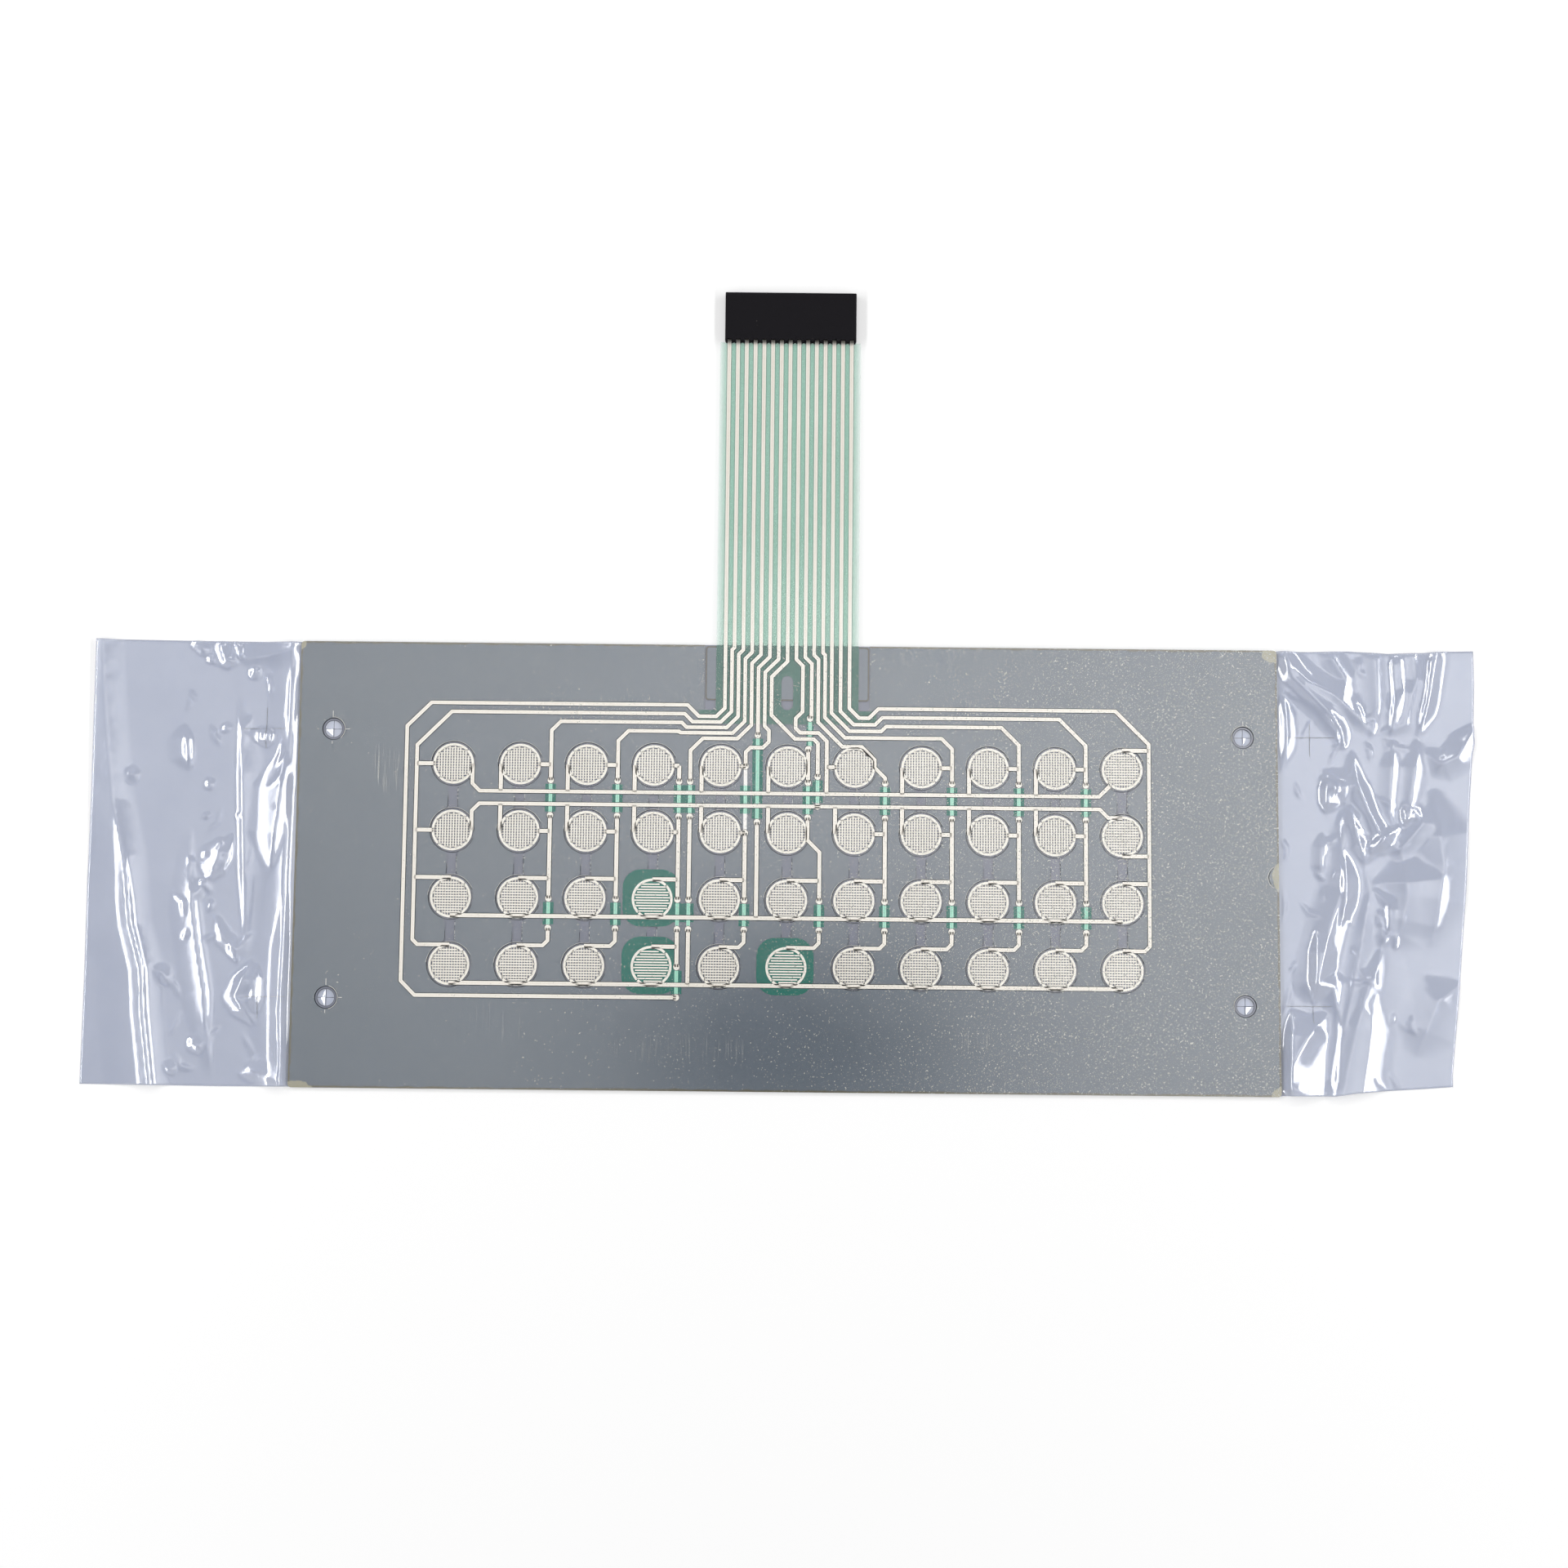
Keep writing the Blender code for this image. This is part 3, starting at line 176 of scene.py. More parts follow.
half = BENCH_SIZE / 2
mesh = bpy.data.meshes.new("bench")
mesh.from_pydata([(-half, -half, 0), (half, -half, 0), (half, half, 0), (-half, half, 0)], [], [(0, 1, 2, 3)])
bench = bpy.data.objects.new("bench", mesh)
scene.collection.objects.link(bench)
mesh.materials.append(paper)
bench.location.z = -0.00002

# Room: white to the camera, soft all round, and in gloss a bright ceiling with the
# photographer's shade over the middle of the lower edge
world = bpy.data.worlds.new("studio")
scene.world = world
world.use_nodes = True
tree = world.node_tree
tree.nodes.clear()
rays = add_node(tree, "ShaderNodeLightPath")
toward = add_node(tree, "ShaderNodeTexCoord")
axes = split(tree, toward.outputs["Generated"])
offset_x = calc(tree, "SUBTRACT", axes[0], SHADE_PLACE[0])
offset_y = calc(tree, "SUBTRACT", axes[1], SHADE_PLACE[1])
share_x = calc(tree, "DIVIDE", offset_x, SHADE_SIZE[0])
share_y = calc(tree, "DIVIDE", offset_y, SHADE_SIZE[1])
both = xyz(tree, share_x, share_y)
reach = vector(tree, "DOT_PRODUCT", both, both)
fall = calc(tree, "MULTIPLY", reach, -1.0)
shade = calc(tree, "EXPONENT", fall)
slope = vector(tree, "DOT_PRODUCT", toward.outputs["Generated"], CEILING_SLOPE)
ceiling = calc(tree, "ADD", slope, CEILING)
shaded = calc(tree, "MULTIPLY_ADD", shade, -CAMERA_SHADE, ceiling)
flat = vector(tree, "MULTIPLY", toward.outputs["Generated"], (1.0, 1.0, 0.0))
lean = vector(tree, "LENGTH", flat)
edge = ramp(tree, lean, *CEILING_END)
edge_y = ramp(tree, axes[1], *CEILING_END_Y)
gloss_level = mix(tree, edge, shaded, ROOM)
gloss_level = mix(tree, edge_y, gloss_level, ROOM_BEHIND)
sideways = calc(tree, "ABSOLUTE", axes[0])
box_low = ramp(tree, sideways, *SOFTBOX_LEAN[:2])
box_high = ramp(tree, sideways, SOFTBOX_LEAN[3], SOFTBOX_LEAN[2])
box = calc(tree, "MULTIPLY", box_low, box_high)
high_up = ramp(tree, axes[2], *SOFTBOX_HEIGHT)
box = calc(tree, "MULTIPLY", box, high_up)
gloss_level = mix(tree, box, gloss_level, SOFTBOX)
gloss_level = calc(tree, "MAXIMUM", gloss_level, 0.03)
for_gloss = mix(tree, rays.outputs["Is Glossy Ray"], AMBIENT, gloss_level)
direct = calc(tree, "MAXIMUM", rays.outputs["Is Camera Ray"], rays.outputs["Is Transmission Ray"])
level = mix(tree, direct, for_gloss, 1.0)
sky = add_node(tree, "ShaderNodeBackground", {"Color": linear("#ffffff"), "Strength": level})
add_node(tree, "ShaderNodeOutputWorld", {"Surface": sky})

for name, place, size, radiance in LAMPS:
    light = bpy.data.lights.new(name, "AREA")
    light.shape = "RECTANGLE"
    light.size, light.size_y = size
    light.energy = radiance * math.pi * size[0] * size[1]
    lamp = bpy.data.objects.new(name, light)
    scene.collection.objects.link(lamp)
    lamp.location = place
    lamp.rotation_euler = (-Vector(place)).to_track_quat("-Z", "Y").to_euler()

lens = bpy.data.cameras.new("camera")
lens.lens = FOCAL_LENGTH
lens.sensor_width = SENSOR
camera = bpy.data.objects.new("camera", lens)
scene.collection.objects.link(camera)
camera.location = [v * MM for v in CAMERA_PLACE]
camera.rotation_euler = [math.radians(v) for v in CAMERA_TURN]
scene.camera = camera

# ---------------------------------------------------------------- peel-off protective film
# Blown polyethylene, tinted blue, 0.1 mm thick, and wider than the panel. It was rolled
# over the overlay when the panel was cut, and its free ends are creased from handling.
FILM_THICKNESS = 0.10
PANEL_HALF_X = 139.7
PANEL_HALF_Y = 63.5
FILM_STEP = 0.6
FILM_ROWS = 210
FILM_HALF_Y = 63.3
FILM_LEFT_END = 198.4
FILM_RIGHT_END = 196.4
PANEL_STEPS = 12
FILM_ROOT = 2.4
LEFT_EDGE = [(-63.1, -198.4), (-34.0, -198.3), (-6.2, -198.5), (17.1, -198.3), (63.5, -198.45)]
RIGHT_EDGE = [(-60.2, 188.1), (-37.0, 190.4), (-7.0, 192.9), (16.3, 194.3), (32.8, 195.5),
              (36.3, 196.2), (42.2, 196.0), (54.0, 196.4), (63.9, 196.3)]
LEFT_FOOT = [(-198.4, -63.1), (-158.7, -63.4), (-139.7, -63.3)]
LEFT_HEAD = [(-198.4, 63.6), (-170.2, 63.3), (-151.4, 63.2), (-139.7, 63.3)]
RIGHT_FOOT = [(139.7, -63.2), (154.5, -63.2), (160.7, -62.3), (169.9, -61.5), (179.1, -60.9), (188.1, -60.2)]
RIGHT_HEAD = [(139.7, 63.4), (148.6, 63.3), (160.3, 63.6), (172.0, 63.0), (181.4, 63.3),
              (188.5, 63.8), (196.4, 64.0)]
# Creases: height, width of the slope on the left and on the right, points along the crest
LEFT_CREASES = [
    (1.5, 13.0, 6.0, [(-196.7, 63.4), (-194.7, 40.6), (-191.8, 17.1), (-187.7, 0.8), (-185.7, -18.5),
                      (-181.8, -30.0), (-181.3, -43.0), (-178.2, -63.9)]),
    (0.7, 6.0, 2.0, [(-172.4, 39.2), (-171.6, 34.5), (-170.2, 25.9)]),
    (1.3, 7.0, 2.6, [(-169.6, 8.0), (-169.3, -4.4), (-167.7, -16.0), (-166.0, -26.7), (-164.1, -36.7),
                     (-162.9, -50.5), (-161.4, -58.8)]),
    (1.0, 2.2, 7.0, [(-157.1, 46.4), (-155.5, 26.9), (-154.4, 3.5), (-153.0, -25.1)]),
    (1.6, 9.0, 3.2, [(-140.1, 64.0), (-140.6, 30.1), (-141.8, 19.2), (-142.4, -4.1), (-142.2, -23.4),
                     (-142.9, -42.6), (-141.1, -63.6)]),
    (1.5, 6.0, 4.0, [(-160.4, 6.5), (-161.7, 0.3), (-163.8, -5.9)]),
    (1.2, 3.0, 3.0, [(-162.3, 61.4), (-161.0, 57.8), (-157.5, 57.1)]),
    (0.9, 2.5, 2.5, [(-154.2, 52.8), (-151.6, 55.6)]),
    (0.8, 2.0, 2.2, [(-169.8, 62.9), (-167.8, 60.9)]),
    (0.6, 1.6, 1.8, [(-166.0, 59.0), (-165.3, 57.0)]),
    (1.5, 4.0, 4.5, [(-151.1, -28.1), (-155.4, -38.2), (-149.7, -46.1)]),
    (0.9, 3.0, 3.0, [(-161.6, -15.1), (-160.3, -19.0), (-159.4, -21.7), (-155.4, -25.1), (-150.6, -20.4)]),
    (0.8, 3.0, 3.0, [(-166.6, -5.2), (-167.0, -9.0), (-166.1, -5.9), (-162.9, -9.0)]),
    (0.6, 2.0, 2.0, [(-165.5, 23.6), (-164.8, 22.1), (-164.1, 20.5)]),
    (0.5, 1.6, 1.6, [(-165.4, 13.5), (-165.2, 12.3)]),
    (0.5, 1.6, 1.6, [(-156.2, 14.0), (-156.0, 12.4)]),
    (0.5, 1.6, 1.6, [(-165.4, 2.6), (-165.2, 1.1)]),
    (0.6, 2.0, 2.0, [(-160.8, 39.3), (-160.3, 37.0)]),
    (0.8, 3.0, 3.0, [(-178.7, -30.3), (-176.0, -31.8), (-174.3, -35.3)]),
    (0.9, 3.0, 3.0, [(-168.4, -49.8), (-165.6, -52.0), (-164.4, -54.3)]),
    (0.8, 3.0, 3.0, [(-174.2, -59.7), (-173.1, -58.6), (-171.1, -58.9)]),
    (1.0, 4.0, 4.0, [(-153.5, -59.9), (-148.9, -59.1), (-142.7, -61.3)]),
    (0.7, 3.0, 3.0, [(-188.6, 25.7), (-186.6, 24.4), (-184.7, 25.0)]),
    (0.8, 5.0, 5.0, [(-157.5, 57.9), (-149.7, 59.1), (-141.6, 61.2)]),
]
RIGHT_CREASES = [
    (2.2, 6.0, 4.0, [(161.0, 34.0), (162.2, 25.4), (165.2, 17.6), (169.2, 9.5), (164.2, 2.8)]),
    (2.0, 5.0, 4.0, [(159.3, 19.9), (161.1, 12.9), (164.2, 2.8)]),
    (1.1, 3.0, 9.0, [(164.2, 2.8), (165.4, -5.7), (164.0, -11.9), (162.3, -21.9), (159.6, -35.0),
                     (156.7, -46.5), (154.9, -63.3)]),
    (1.0, 3.0, 3.0, [(166.8, -4.9), (171.0, -9.1), (170.7, -17.2), (169.3, -18.6), (167.8, -10.3)]),
    (1.5, 4.0, 14.0, [(169.3, -18.4), (167.4, -25.0), (164.4, -32.7), (161.0, -42.7), (158.1, -54.9),
                      (156.5, -63.3)]),
    (0.9, 4.0, 4.0, [(172.8, 38.8), (171.9, 25.5), (171.3, 17.7), (173.5, 11.1)]),
    (1.0, 4.0, 5.0, [(180.0, 38.9), (178.6, 28.7), (177.5, 20.9), (175.0, 10.7)]),
    (1.1, 5.0, 5.0, [(185.7, 64.9), (183.4, 52.3), (180.2, 38.9)]),
    (1.1, 4.0, 4.0, [(169.2, 9.5), (174.2, 6.4), (180.7, 14.3), (179.0, 17.1), (175.5, 14.7)]),
    (1.5, 5.0, 6.0, [(182.4, 35.0), (186.3, 31.1), (191.0, 33.5), (196.6, 42.6)]),
    (1.6, 5.0, 5.0, [(140.0, 63.3), (144.2, 55.4), (150.0, 50.0), (154.2, 46.1), (159.1, 35.5)]),
    (1.4, 5.0, 5.0, [(141.5, 61.3), (148.5, 54.7), (155.8, 51.2), (162.7, 44.6), (167.3, 39.5)]),
    (0.7, 4.0, 4.0, [(167.9, 61.6), (168.3, 49.0), (167.6, 40.3)]),
    (0.9, 4.0, 4.0, [(155.6, 61.5), (159.4, 55.6), (158.5, 48.9)]),
    (0.8, 4.0, 4.0, [(175.1, 61.7), (175.7, 52.2), (173.7, 46.7), (172.4, 38.8)]),
    (0.8, 4.0, 4.0, [(179.0, 62.5), (179.7, 55.4), (178.0, 49.9), (176.3, 42.8), (173.6, 41.2), (168.5, 39.9)]),
    (1.3, 5.0, 5.0, [(153.9, 22.2), (155.8, 24.9), (161.3, 24.6)]),
    (2.2, 7.0, 6.0, [(158.8, 17.5), (157.5, 5.9), (157.7, -4.2), (154.1, -14.3), (149.6, -31.3),
                     (154.6, -32.4), (157.1, -45.8)]),
    (1.6, 6.0, 6.0, [(153.4, -39.7), (147.1, -46.6), (142.4, -54.3), (139.7, -58.9)]),
    (1.2, 4.0, 4.0, [(141.0, 51.8), (142.4, 39.3), (140.7, 28.3)]),
    (0.9, 3.0, 3.0, [(152.1, 11.2), (151.6, 1.9), (152.0, -2.0)]),
    (1.8, 10.0, 12.0, [(174.9, 6.0), (175.9, -5.6), (173.7, -17.2), (171.4, -21.1)]),
    (1.6, 12.0, 12.0, [(183.8, 24.0), (186.5, 2.3), (182.9, -21.0)]),
    (1.2, 10.0, 10.0, [(191.2, -30.9), (184.2, -36.3), (177.8, -51.7)]),
    (1.2, 8.0, 8.0, [(166.1, -36.5), (163.9, -51.8), (162.2, -62.5)]),
    (0.9, 4.0, 4.0, [(140.4, -59.7), (146.1, -62.6), (153.0, -62.2)]),
]
# Facets: the same, but with an even slope from foot to crest
LEFT_FACETS = [
    (2.6, 8.5, 2.5, [(-143.0, 31.0), (-144.5, 14.0), (-146.5, -2.0)]),
    (1.8, 6.0, 2.5, [(-149.5, -29.0), (-150.0, -36.0), (-149.5, -43.0)]),
    (1.0, 3.4, 1.6, [(-190.4, 12.0), (-187.4, -4.0), (-185.5, -18.0), (-182.0, -31.0), (-181.0, -43.0),
                     (-178.2, -63.9)]),
    (1.3, 4.2, 1.4, [(-141.4, -8.0), (-141.8, -35.0), (-141.2, -62.0)]),
    (0.9, 3.0, 1.2, [(-157.5, 61.8), (-156.5, 58.0)]),
    (1.7, 5.5, 1.6, [(-147.8, 38.2), (-148.6, 33.0)]),
    (0.9, 3.0, 1.2, [(-157.8, 8.0), (-158.6, 1.0), (-161.0, -4.0)]),
    (0.6, 2.0, 0.8, [(-171.0, 37.0), (-170.6, 28.0)]),
    (0.7, 2.3, 0.8, [(-140.9, 58.0), (-141.2, 44.0), (-142.0, 36.0)]),
]
RIGHT_FACETS = [
    (2.2, 2.2, 7.0, [(153.2, 27.0), (153.5, 17.0)]),
    (1.9, 2.2, 6.2, [(150.2, -16.0), (149.4, -37.0)]),
    (3.2, 2.4, 10.5, [(143.0, -39.0), (142.4, -50.0), (141.9, -61.0)]),
    (1.6, 1.5, 5.0, [(164.5, 6.5), (170.0, 10.5), (175.0, 13.5)]),
    (1.3, 1.2, 4.6, [(175.2, 19.5), (176.0, 13.5)]),
    (0.7, 0.7, 2.4, [(140.7, 54.0), (140.9, 33.0)]),
    (1.0, 0.8, 3.4, [(154.2, 46.0), (157.5, 41.0), (158.6, 35.0)]),
    (0.9, 0.8, 3.2, [(172.9, 60.0), (173.4, 50.0), (172.0, 40.0)]),
    (1.2, 1.0, 4.4, [(158.3, 5.0), (158.0, -8.0), (156.5, -16.0)]),
    (1.0, 0.9, 3.8, [(184.0, 61.0), (182.5, 50.0), (180.0, 40.0)]),
]
# Small random wrinkles: how many, and the range of X that holds them
LEFT_WRINKLES = (30, -173.0, -141.5)
RIGHT_WRINKLES = (46, 141.5, 178.0)
CREASE_TOP = 5.5
# A crease that ends inside this Y thins out over its last part, down to a little of itself
INSIDE_Y = 60.0
THIN_PART = 0.3
THIN_LEFT = 0.06
# Shares of its width that stay and that go with it
WIDTH_LEFT, WIDTH_THINNED = 0.3, 0.7
# Curl of the slopes: 0 is an even slope, and 1 one that starts flat
CREASE_CURL = 0.62
FACET_CURL = 0.12

# Gloss of the clear film, which every print and sheet beneath it takes on as a coat
UNDER_FILM = {"Coat_Weight": 1.0, "Coat_Roughness": 0.09, "Coat_IOR": 1.64, "Specular_IOR_Level": 0.0}
INK_SPREAD = (0.7, 1.3)


def new_material(name, colour, roughness, **inputs):
    """Principled material, and its tree, shader and object coordinates."""
    made = bpy.data.materials.new(name)
    made.use_nodes = True
    made.node_tree.nodes.clear()
    tree = made.node_tree
    shader = add_node(tree, "ShaderNodeBsdfPrincipled", {"Base Color": linear(colour), "Roughness": roughness})
    for key, value in inputs.items():
        shader.inputs[key.replace("_", " ")].default_value = value
    add_node(tree, "ShaderNodeOutputMaterial", {"Surface": shader.outputs[0]})
    place = add_node(tree, "ShaderNodeTexCoord").outputs["Object"]
    return made, tree, shader, place


def dapple(shader, place, scale, detail, low, high):
    """Colour a shader by noise between two tones, and return the noise."""
    grain = noise(shader.id_data, place, scale, detail)
    feed(shader, "Base Color", tint(shader.id_data, grain, low, high))
    return grain


def screened_ink(name, low, high, roughness, scales, detail, **inputs):
    """Printed ink: the weave of the screen and a slow drift add up to a tone between two."""
    ink, tree, shader, place = new_material(name, high, roughness, **{**UNDER_FILM, **inputs})
    weave, drift = (noise(tree, place, scale, detail) for scale in scales)
    share = ramp(tree, calc(tree, "ADD", weave, drift), *INK_SPREAD)
    feed(shader, "Base Color", tint(tree, share, low, high))
    return ink


def distance_from(tree, place, spot, reach):
    """Distance from a spot in millimetres, in units of a reach along X and one along Y."""
    moved = vector(tree, "SUBTRACT", place, (spot[0] * MM, spot[1] * MM, 0.0))
    scaled = vector(tree, "MULTIPLY", moved, (1000.0 / reach[0], 1000.0 / reach[1], 0.0))
    return vector(tree, "LENGTH", scaled)


def piece_from(bm, name, *materials):
    """Object at the origin from a bmesh in millimetres, facing out, riding on the root body."""
    bmesh.ops.scale(bm, vec=(MM, MM, MM), verts=bm.verts)
    mesh = bpy.data.meshes.new(name)
    bm.to_mesh(mesh)
    bm.free()
    for material in materials:
        mesh.materials.append(material)
    piece = bpy.data.objects.new(name, mesh)
    scene.collection.objects.link(piece)
    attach(piece, "root")
    return piece


# Blown polyethylene: smooth and glossy, faintly cloudy, with fine rub marks
film_blue, tree, shader, place = new_material("polyethylene_film_blown_blue", "#a8b2ca", 0.11, IOR=1.51,
                                              Alpha=0.48, Specular_IOR_Level=1.0)
dapple(shader, place, 55.0, 3.0, "#a0abc6", "#b4bdd4")
stretch = add_node(tree, "ShaderNodeMapping", {"Vector": place, "Scale": (260.0, 60.0, 60.0)})
rubs = noise(tree, stretch, 6.0, 4.0)
feed(shader, "Roughness", ramp(tree, rubs, 0.35, 0.75, 0.07, 0.2))
feed(shader, "Normal", bump(tree, noise(tree, place, 160.0, 2.0), 0.12, 0.0005))


def crease_heights(x, y, creases, curl):
    """Height of the film at arrays x and y, from creases that die out inside the film."""
    total = np.zeros_like(x)
    for height, left, right, points in creases:
        best = np.full_like(x, 1e9)
        rise = np.zeros_like(x)
        spans = [math.dist(a, b) for a, b in zip(points, points[1:])]
        whole, done = sum(spans), 0.0
        for (x0, y0), (x1, y1), span in zip(points, points[1:], spans):
            dx, dy = x1 - x0, y1 - y0
            along = np.clip(((x - x0) * dx + (y - y0) * dy) / (span * span), 0.0, 1.0)
            off_x, off_y = x - x0 - along * dx, y - y0 - along * dy
            away = np.hypot(off_x, off_y)
            side = np.sign(off_x * dy - off_y * dx) * math.copysign(1.0, dy)
            at = (done + along * span) / whole
            taper = np.ones_like(x)
            if abs(points[0][1]) < INSIDE_Y:
                taper = np.minimum(taper, at / THIN_PART)
            if abs(points[-1][1]) < INSIDE_Y:
                taper = np.minimum(taper, (1.0 - at) / THIN_PART)
            taper = THIN_LEFT + (1.0 - THIN_LEFT) * taper
            width = np.where(side > 0, right, left) * (WIDTH_LEFT + WIDTH_THINNED * taper)
            share = np.clip(1.0 - away / width, 0.0, 1.0)
            here = height * taper * share * (1.0 - curl + curl * share)
            rise = np.where(away < best, here, rise)
            best = np.minimum(best, away)
            done += span
        total += rise
    return total


def wrinkles(count, low, high, seed):
    """Short random creases between two values of X, mostly running up the film."""
    random = np.random.default_rng(seed)
    made = []
    for _ in range(count):
        x, y = random.uniform(low, high), random.uniform(-INSIDE_Y, INSIDE_Y)
        lean = random.normal(0.12, 0.55)
        reach = random.uniform(1.5, 5.5)
        bend = random.normal(0.0, 0.5)
        width = random.uniform(0.8, 1.6)
        points = [(x - reach * math.sin(lean), y + reach * math.cos(lean)), (x, y),
                  (x + reach * math.sin(lean + bend), y - reach * math.cos(lean + bend))]
        made.append((width * random.uniform(0.20, 0.36), width, width * random.uniform(0.5, 1.0), points))
    return made


LEFT_CREASES += wrinkles(*LEFT_WRINKLES, 11)
RIGHT_CREASES += wrinkles(*RIGHT_WRINKLES, 5)


def film_height(x, y, creases, facets):
    """Height of a flap, which rises from the panel's edge within FILM_ROOT."""
    total = crease_heights(x, y, creases, CREASE_CURL) + crease_heights(x, y, facets, FACET_CURL)
    lift = np.clip((np.abs(x) - PANEL_HALF_X) / FILM_ROOT, 0.0, 1.0)
    return lift * (CREASE_TOP * np.tanh(total / CREASE_TOP))


def interpolate(x, pairs):
    return np.interp(x, [p[0] for p in pairs], [p[1] for p in pairs])


LEFT_FLAP = (-PANEL_HALF_X, FILM_LEFT_END, LEFT_EDGE, LEFT_FOOT, LEFT_HEAD, (LEFT_CREASES, LEFT_FACETS))
RIGHT_FLAP = (PANEL_HALF_X, FILM_RIGHT_END, RIGHT_EDGE, RIGHT_FOOT, RIGHT_HEAD, (RIGHT_CREASES, RIGHT_FACETS))
share = np.linspace(0.0, 1.0, FILM_ROWS + 1)


def flap_columns(root, end, edge, foot, head, folds):
    """Columns of points of one flap, from the panel's edge outwards."""
    made = []
    count = round((end - PANEL_HALF_X) / FILM_STEP)
    for i in range(1, count + 1):
        y = -PANEL_HALF_Y + 2 * PANEL_HALF_Y * share
        x = root + (interpolate(y, edge) - root) * i / count
        y = interpolate(x, foot) * (1 - share) + interpolate(x, head) * share
        made.append((x, y, film_height(x, y, *folds)))
    return made


columns = flap_columns(*LEFT_FLAP)[::-1]
for i in range(PANEL_STEPS + 1):
    x = np.full_like(share, -PANEL_HALF_X + 2 * PANEL_HALF_X * i / PANEL_STEPS)
    columns.append((x, -FILM_HALF_Y + 2 * FILM_HALF_Y * share, np.zeros_like(share)))
columns += flap_columns(*RIGHT_FLAP)

bm = bmesh.new()
upper = [[bm.verts.new((px, py, pz + FILM_THICKNESS)) for px, py, pz in zip(*column)] for column in columns]
lower = [[bm.verts.new((px, py, pz)) for px, py, pz in zip(*column)] for column in columns]
for i in range(len(columns) - 1):
    for j in range(FILM_ROWS):
        bm.faces.new((upper[i][j], upper[i + 1][j], upper[i + 1][j + 1], upper[i][j + 1]))
        bm.faces.new((lower[i][j], lower[i][j + 1], lower[i + 1][j + 1], lower[i + 1][j]))
for face in bm.faces:
    face.smooth = True
rim = [(i, 0) for i in range(len(columns))] + [(len(columns) - 1, j) for j in range(1, FILM_ROWS + 1)]
rim += [(i, FILM_ROWS) for i in range(len(columns) - 2, -1, -1)] + [(0, j) for j in range(FILM_ROWS - 1, 0, -1)]
for k, (i, j) in enumerate(rim):
    a, b = rim[k - 1]
    bm.faces.new((upper[i][j], upper[a][b], lower[a][b], lower[i][j]))
film = piece_from(bm, "protective_film_creased", film_blue)
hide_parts("protective_film")

# Score lines: the cutter that trimmed the corners of the panel also nicked the film
SCORES = [[(-155.3, 38.1), (-142.8, 38.2)], [(-152.7, -38.2), (-141.2, -38.1)],
          [(-149.0, 44.2), (-149.0, 32.4)], [(-149.0, -38.1), (-149.0, -44.2)],
          [(142.0, 38.4), (156.0, 38.6)], [(141.5, -38.0), (154.2, -38.0)],
          [(149.0, 42.5), (149.0, 33.1)], [(149.0, -38.0), (149.0, -42.8)]]
SCORE_WIDTH = 0.16
SCORE_STEPS = 24
SCORE_HIGH, SCORE_LOW = 0.04, -0.02

score_edge, tree, shader, place = new_material("polyethylene_nicked_edge", "#7f8796", 0.4, Alpha=0.7)
dapple(shader, place, 800.0, 2.0, "#70737a", "#a9acb2")
bm = bmesh.new()
for (x0, y0), (x1, y1) in SCORES:
    share = np.linspace(0.0, 1.0, SCORE_STEPS + 1)
    x, y = x0 + (x1 - x0) * share, y0 + (y1 - y0) * share
    z = film_height(x, y, *(LEFT_FLAP if x0 < 0 else RIGHT_FLAP)[-1]) + FILM_THICKNESS
    across = (0.0, SCORE_WIDTH / 2) if abs(x1 - x0) > abs(y1 - y0) else (SCORE_WIDTH / 2, 0.0)
    rings = [[bm.verts.new((px + sx * across[0], py + sx * across[1], pz + rise))
              for sx, rise in ((-1, SCORE_HIGH), (1, SCORE_HIGH), (1, SCORE_LOW), (-1, SCORE_LOW))]
             for px, py, pz in zip(x, y, z)]
    for a, b in zip(rings, rings[1:]):
        for k in range(4):
            bm.faces.new((a[k], b[k], b[(k + 1) % 4], a[(k + 1) % 4]))
    bm.faces.new(rings[0])
    bm.faces.new(rings[-1][::-1])
bmesh.ops.recalc_face_normals(bm, faces=bm.faces)
scores = piece_from(bm, "protective_film_scores", score_edge)

# ---------------------------------------------------------------- graphic overlay
# Plain polyester front sheet, 0.25 mm thick, with a fine texture coined into its face. Only
# the peel-off film lies below it, because the keypad lies face down.
HOLE_X, HOLE_Y = 129.8, 38.2
HOLES = [(sx * HOLE_X, sy * HOLE_Y) for sx in (-1, 1) for sy in (-1, 1)]
NARROW_HOLE = 2.5
WIDE_HOLE = 3.175
PANEL_CORNER = 1.0
ROUND = 48
OVERLAY_LEVELS = (0.11, 0.36)


def circle(x, y, radius, sides=ROUND, start=0.0, turn=2 * math.pi):
    """Points of a circle, or of an arc where turn is less than a whole one."""
    steps = sides if turn >= 2 * math.pi else sides + 1
    return [(x + radius * math.cos(start + turn * i / sides), y + radius * math.sin(start + turn * i / sides))
            for i in range(steps)]


def rounded(x0, y0, x1, y1, radius, sides=8):
    """Rectangle with round corners."""
    corners = ((x1 - radius, y0 + radius), (x1 - radius, y1 - radius), (x0 + radius, y1 - radius),
               (x0 + radius, y0 + radius))
    points = []
    for i, (x, y) in enumerate(corners):
        points += circle(x, y, radius, sides, (i - 1) * math.pi / 2, math.pi / 2)
    return points


def rectangle(x0, y0, x1, y1):
    return [(x0, y0), (x1, y0), (x1, y1), (x0, y1)]


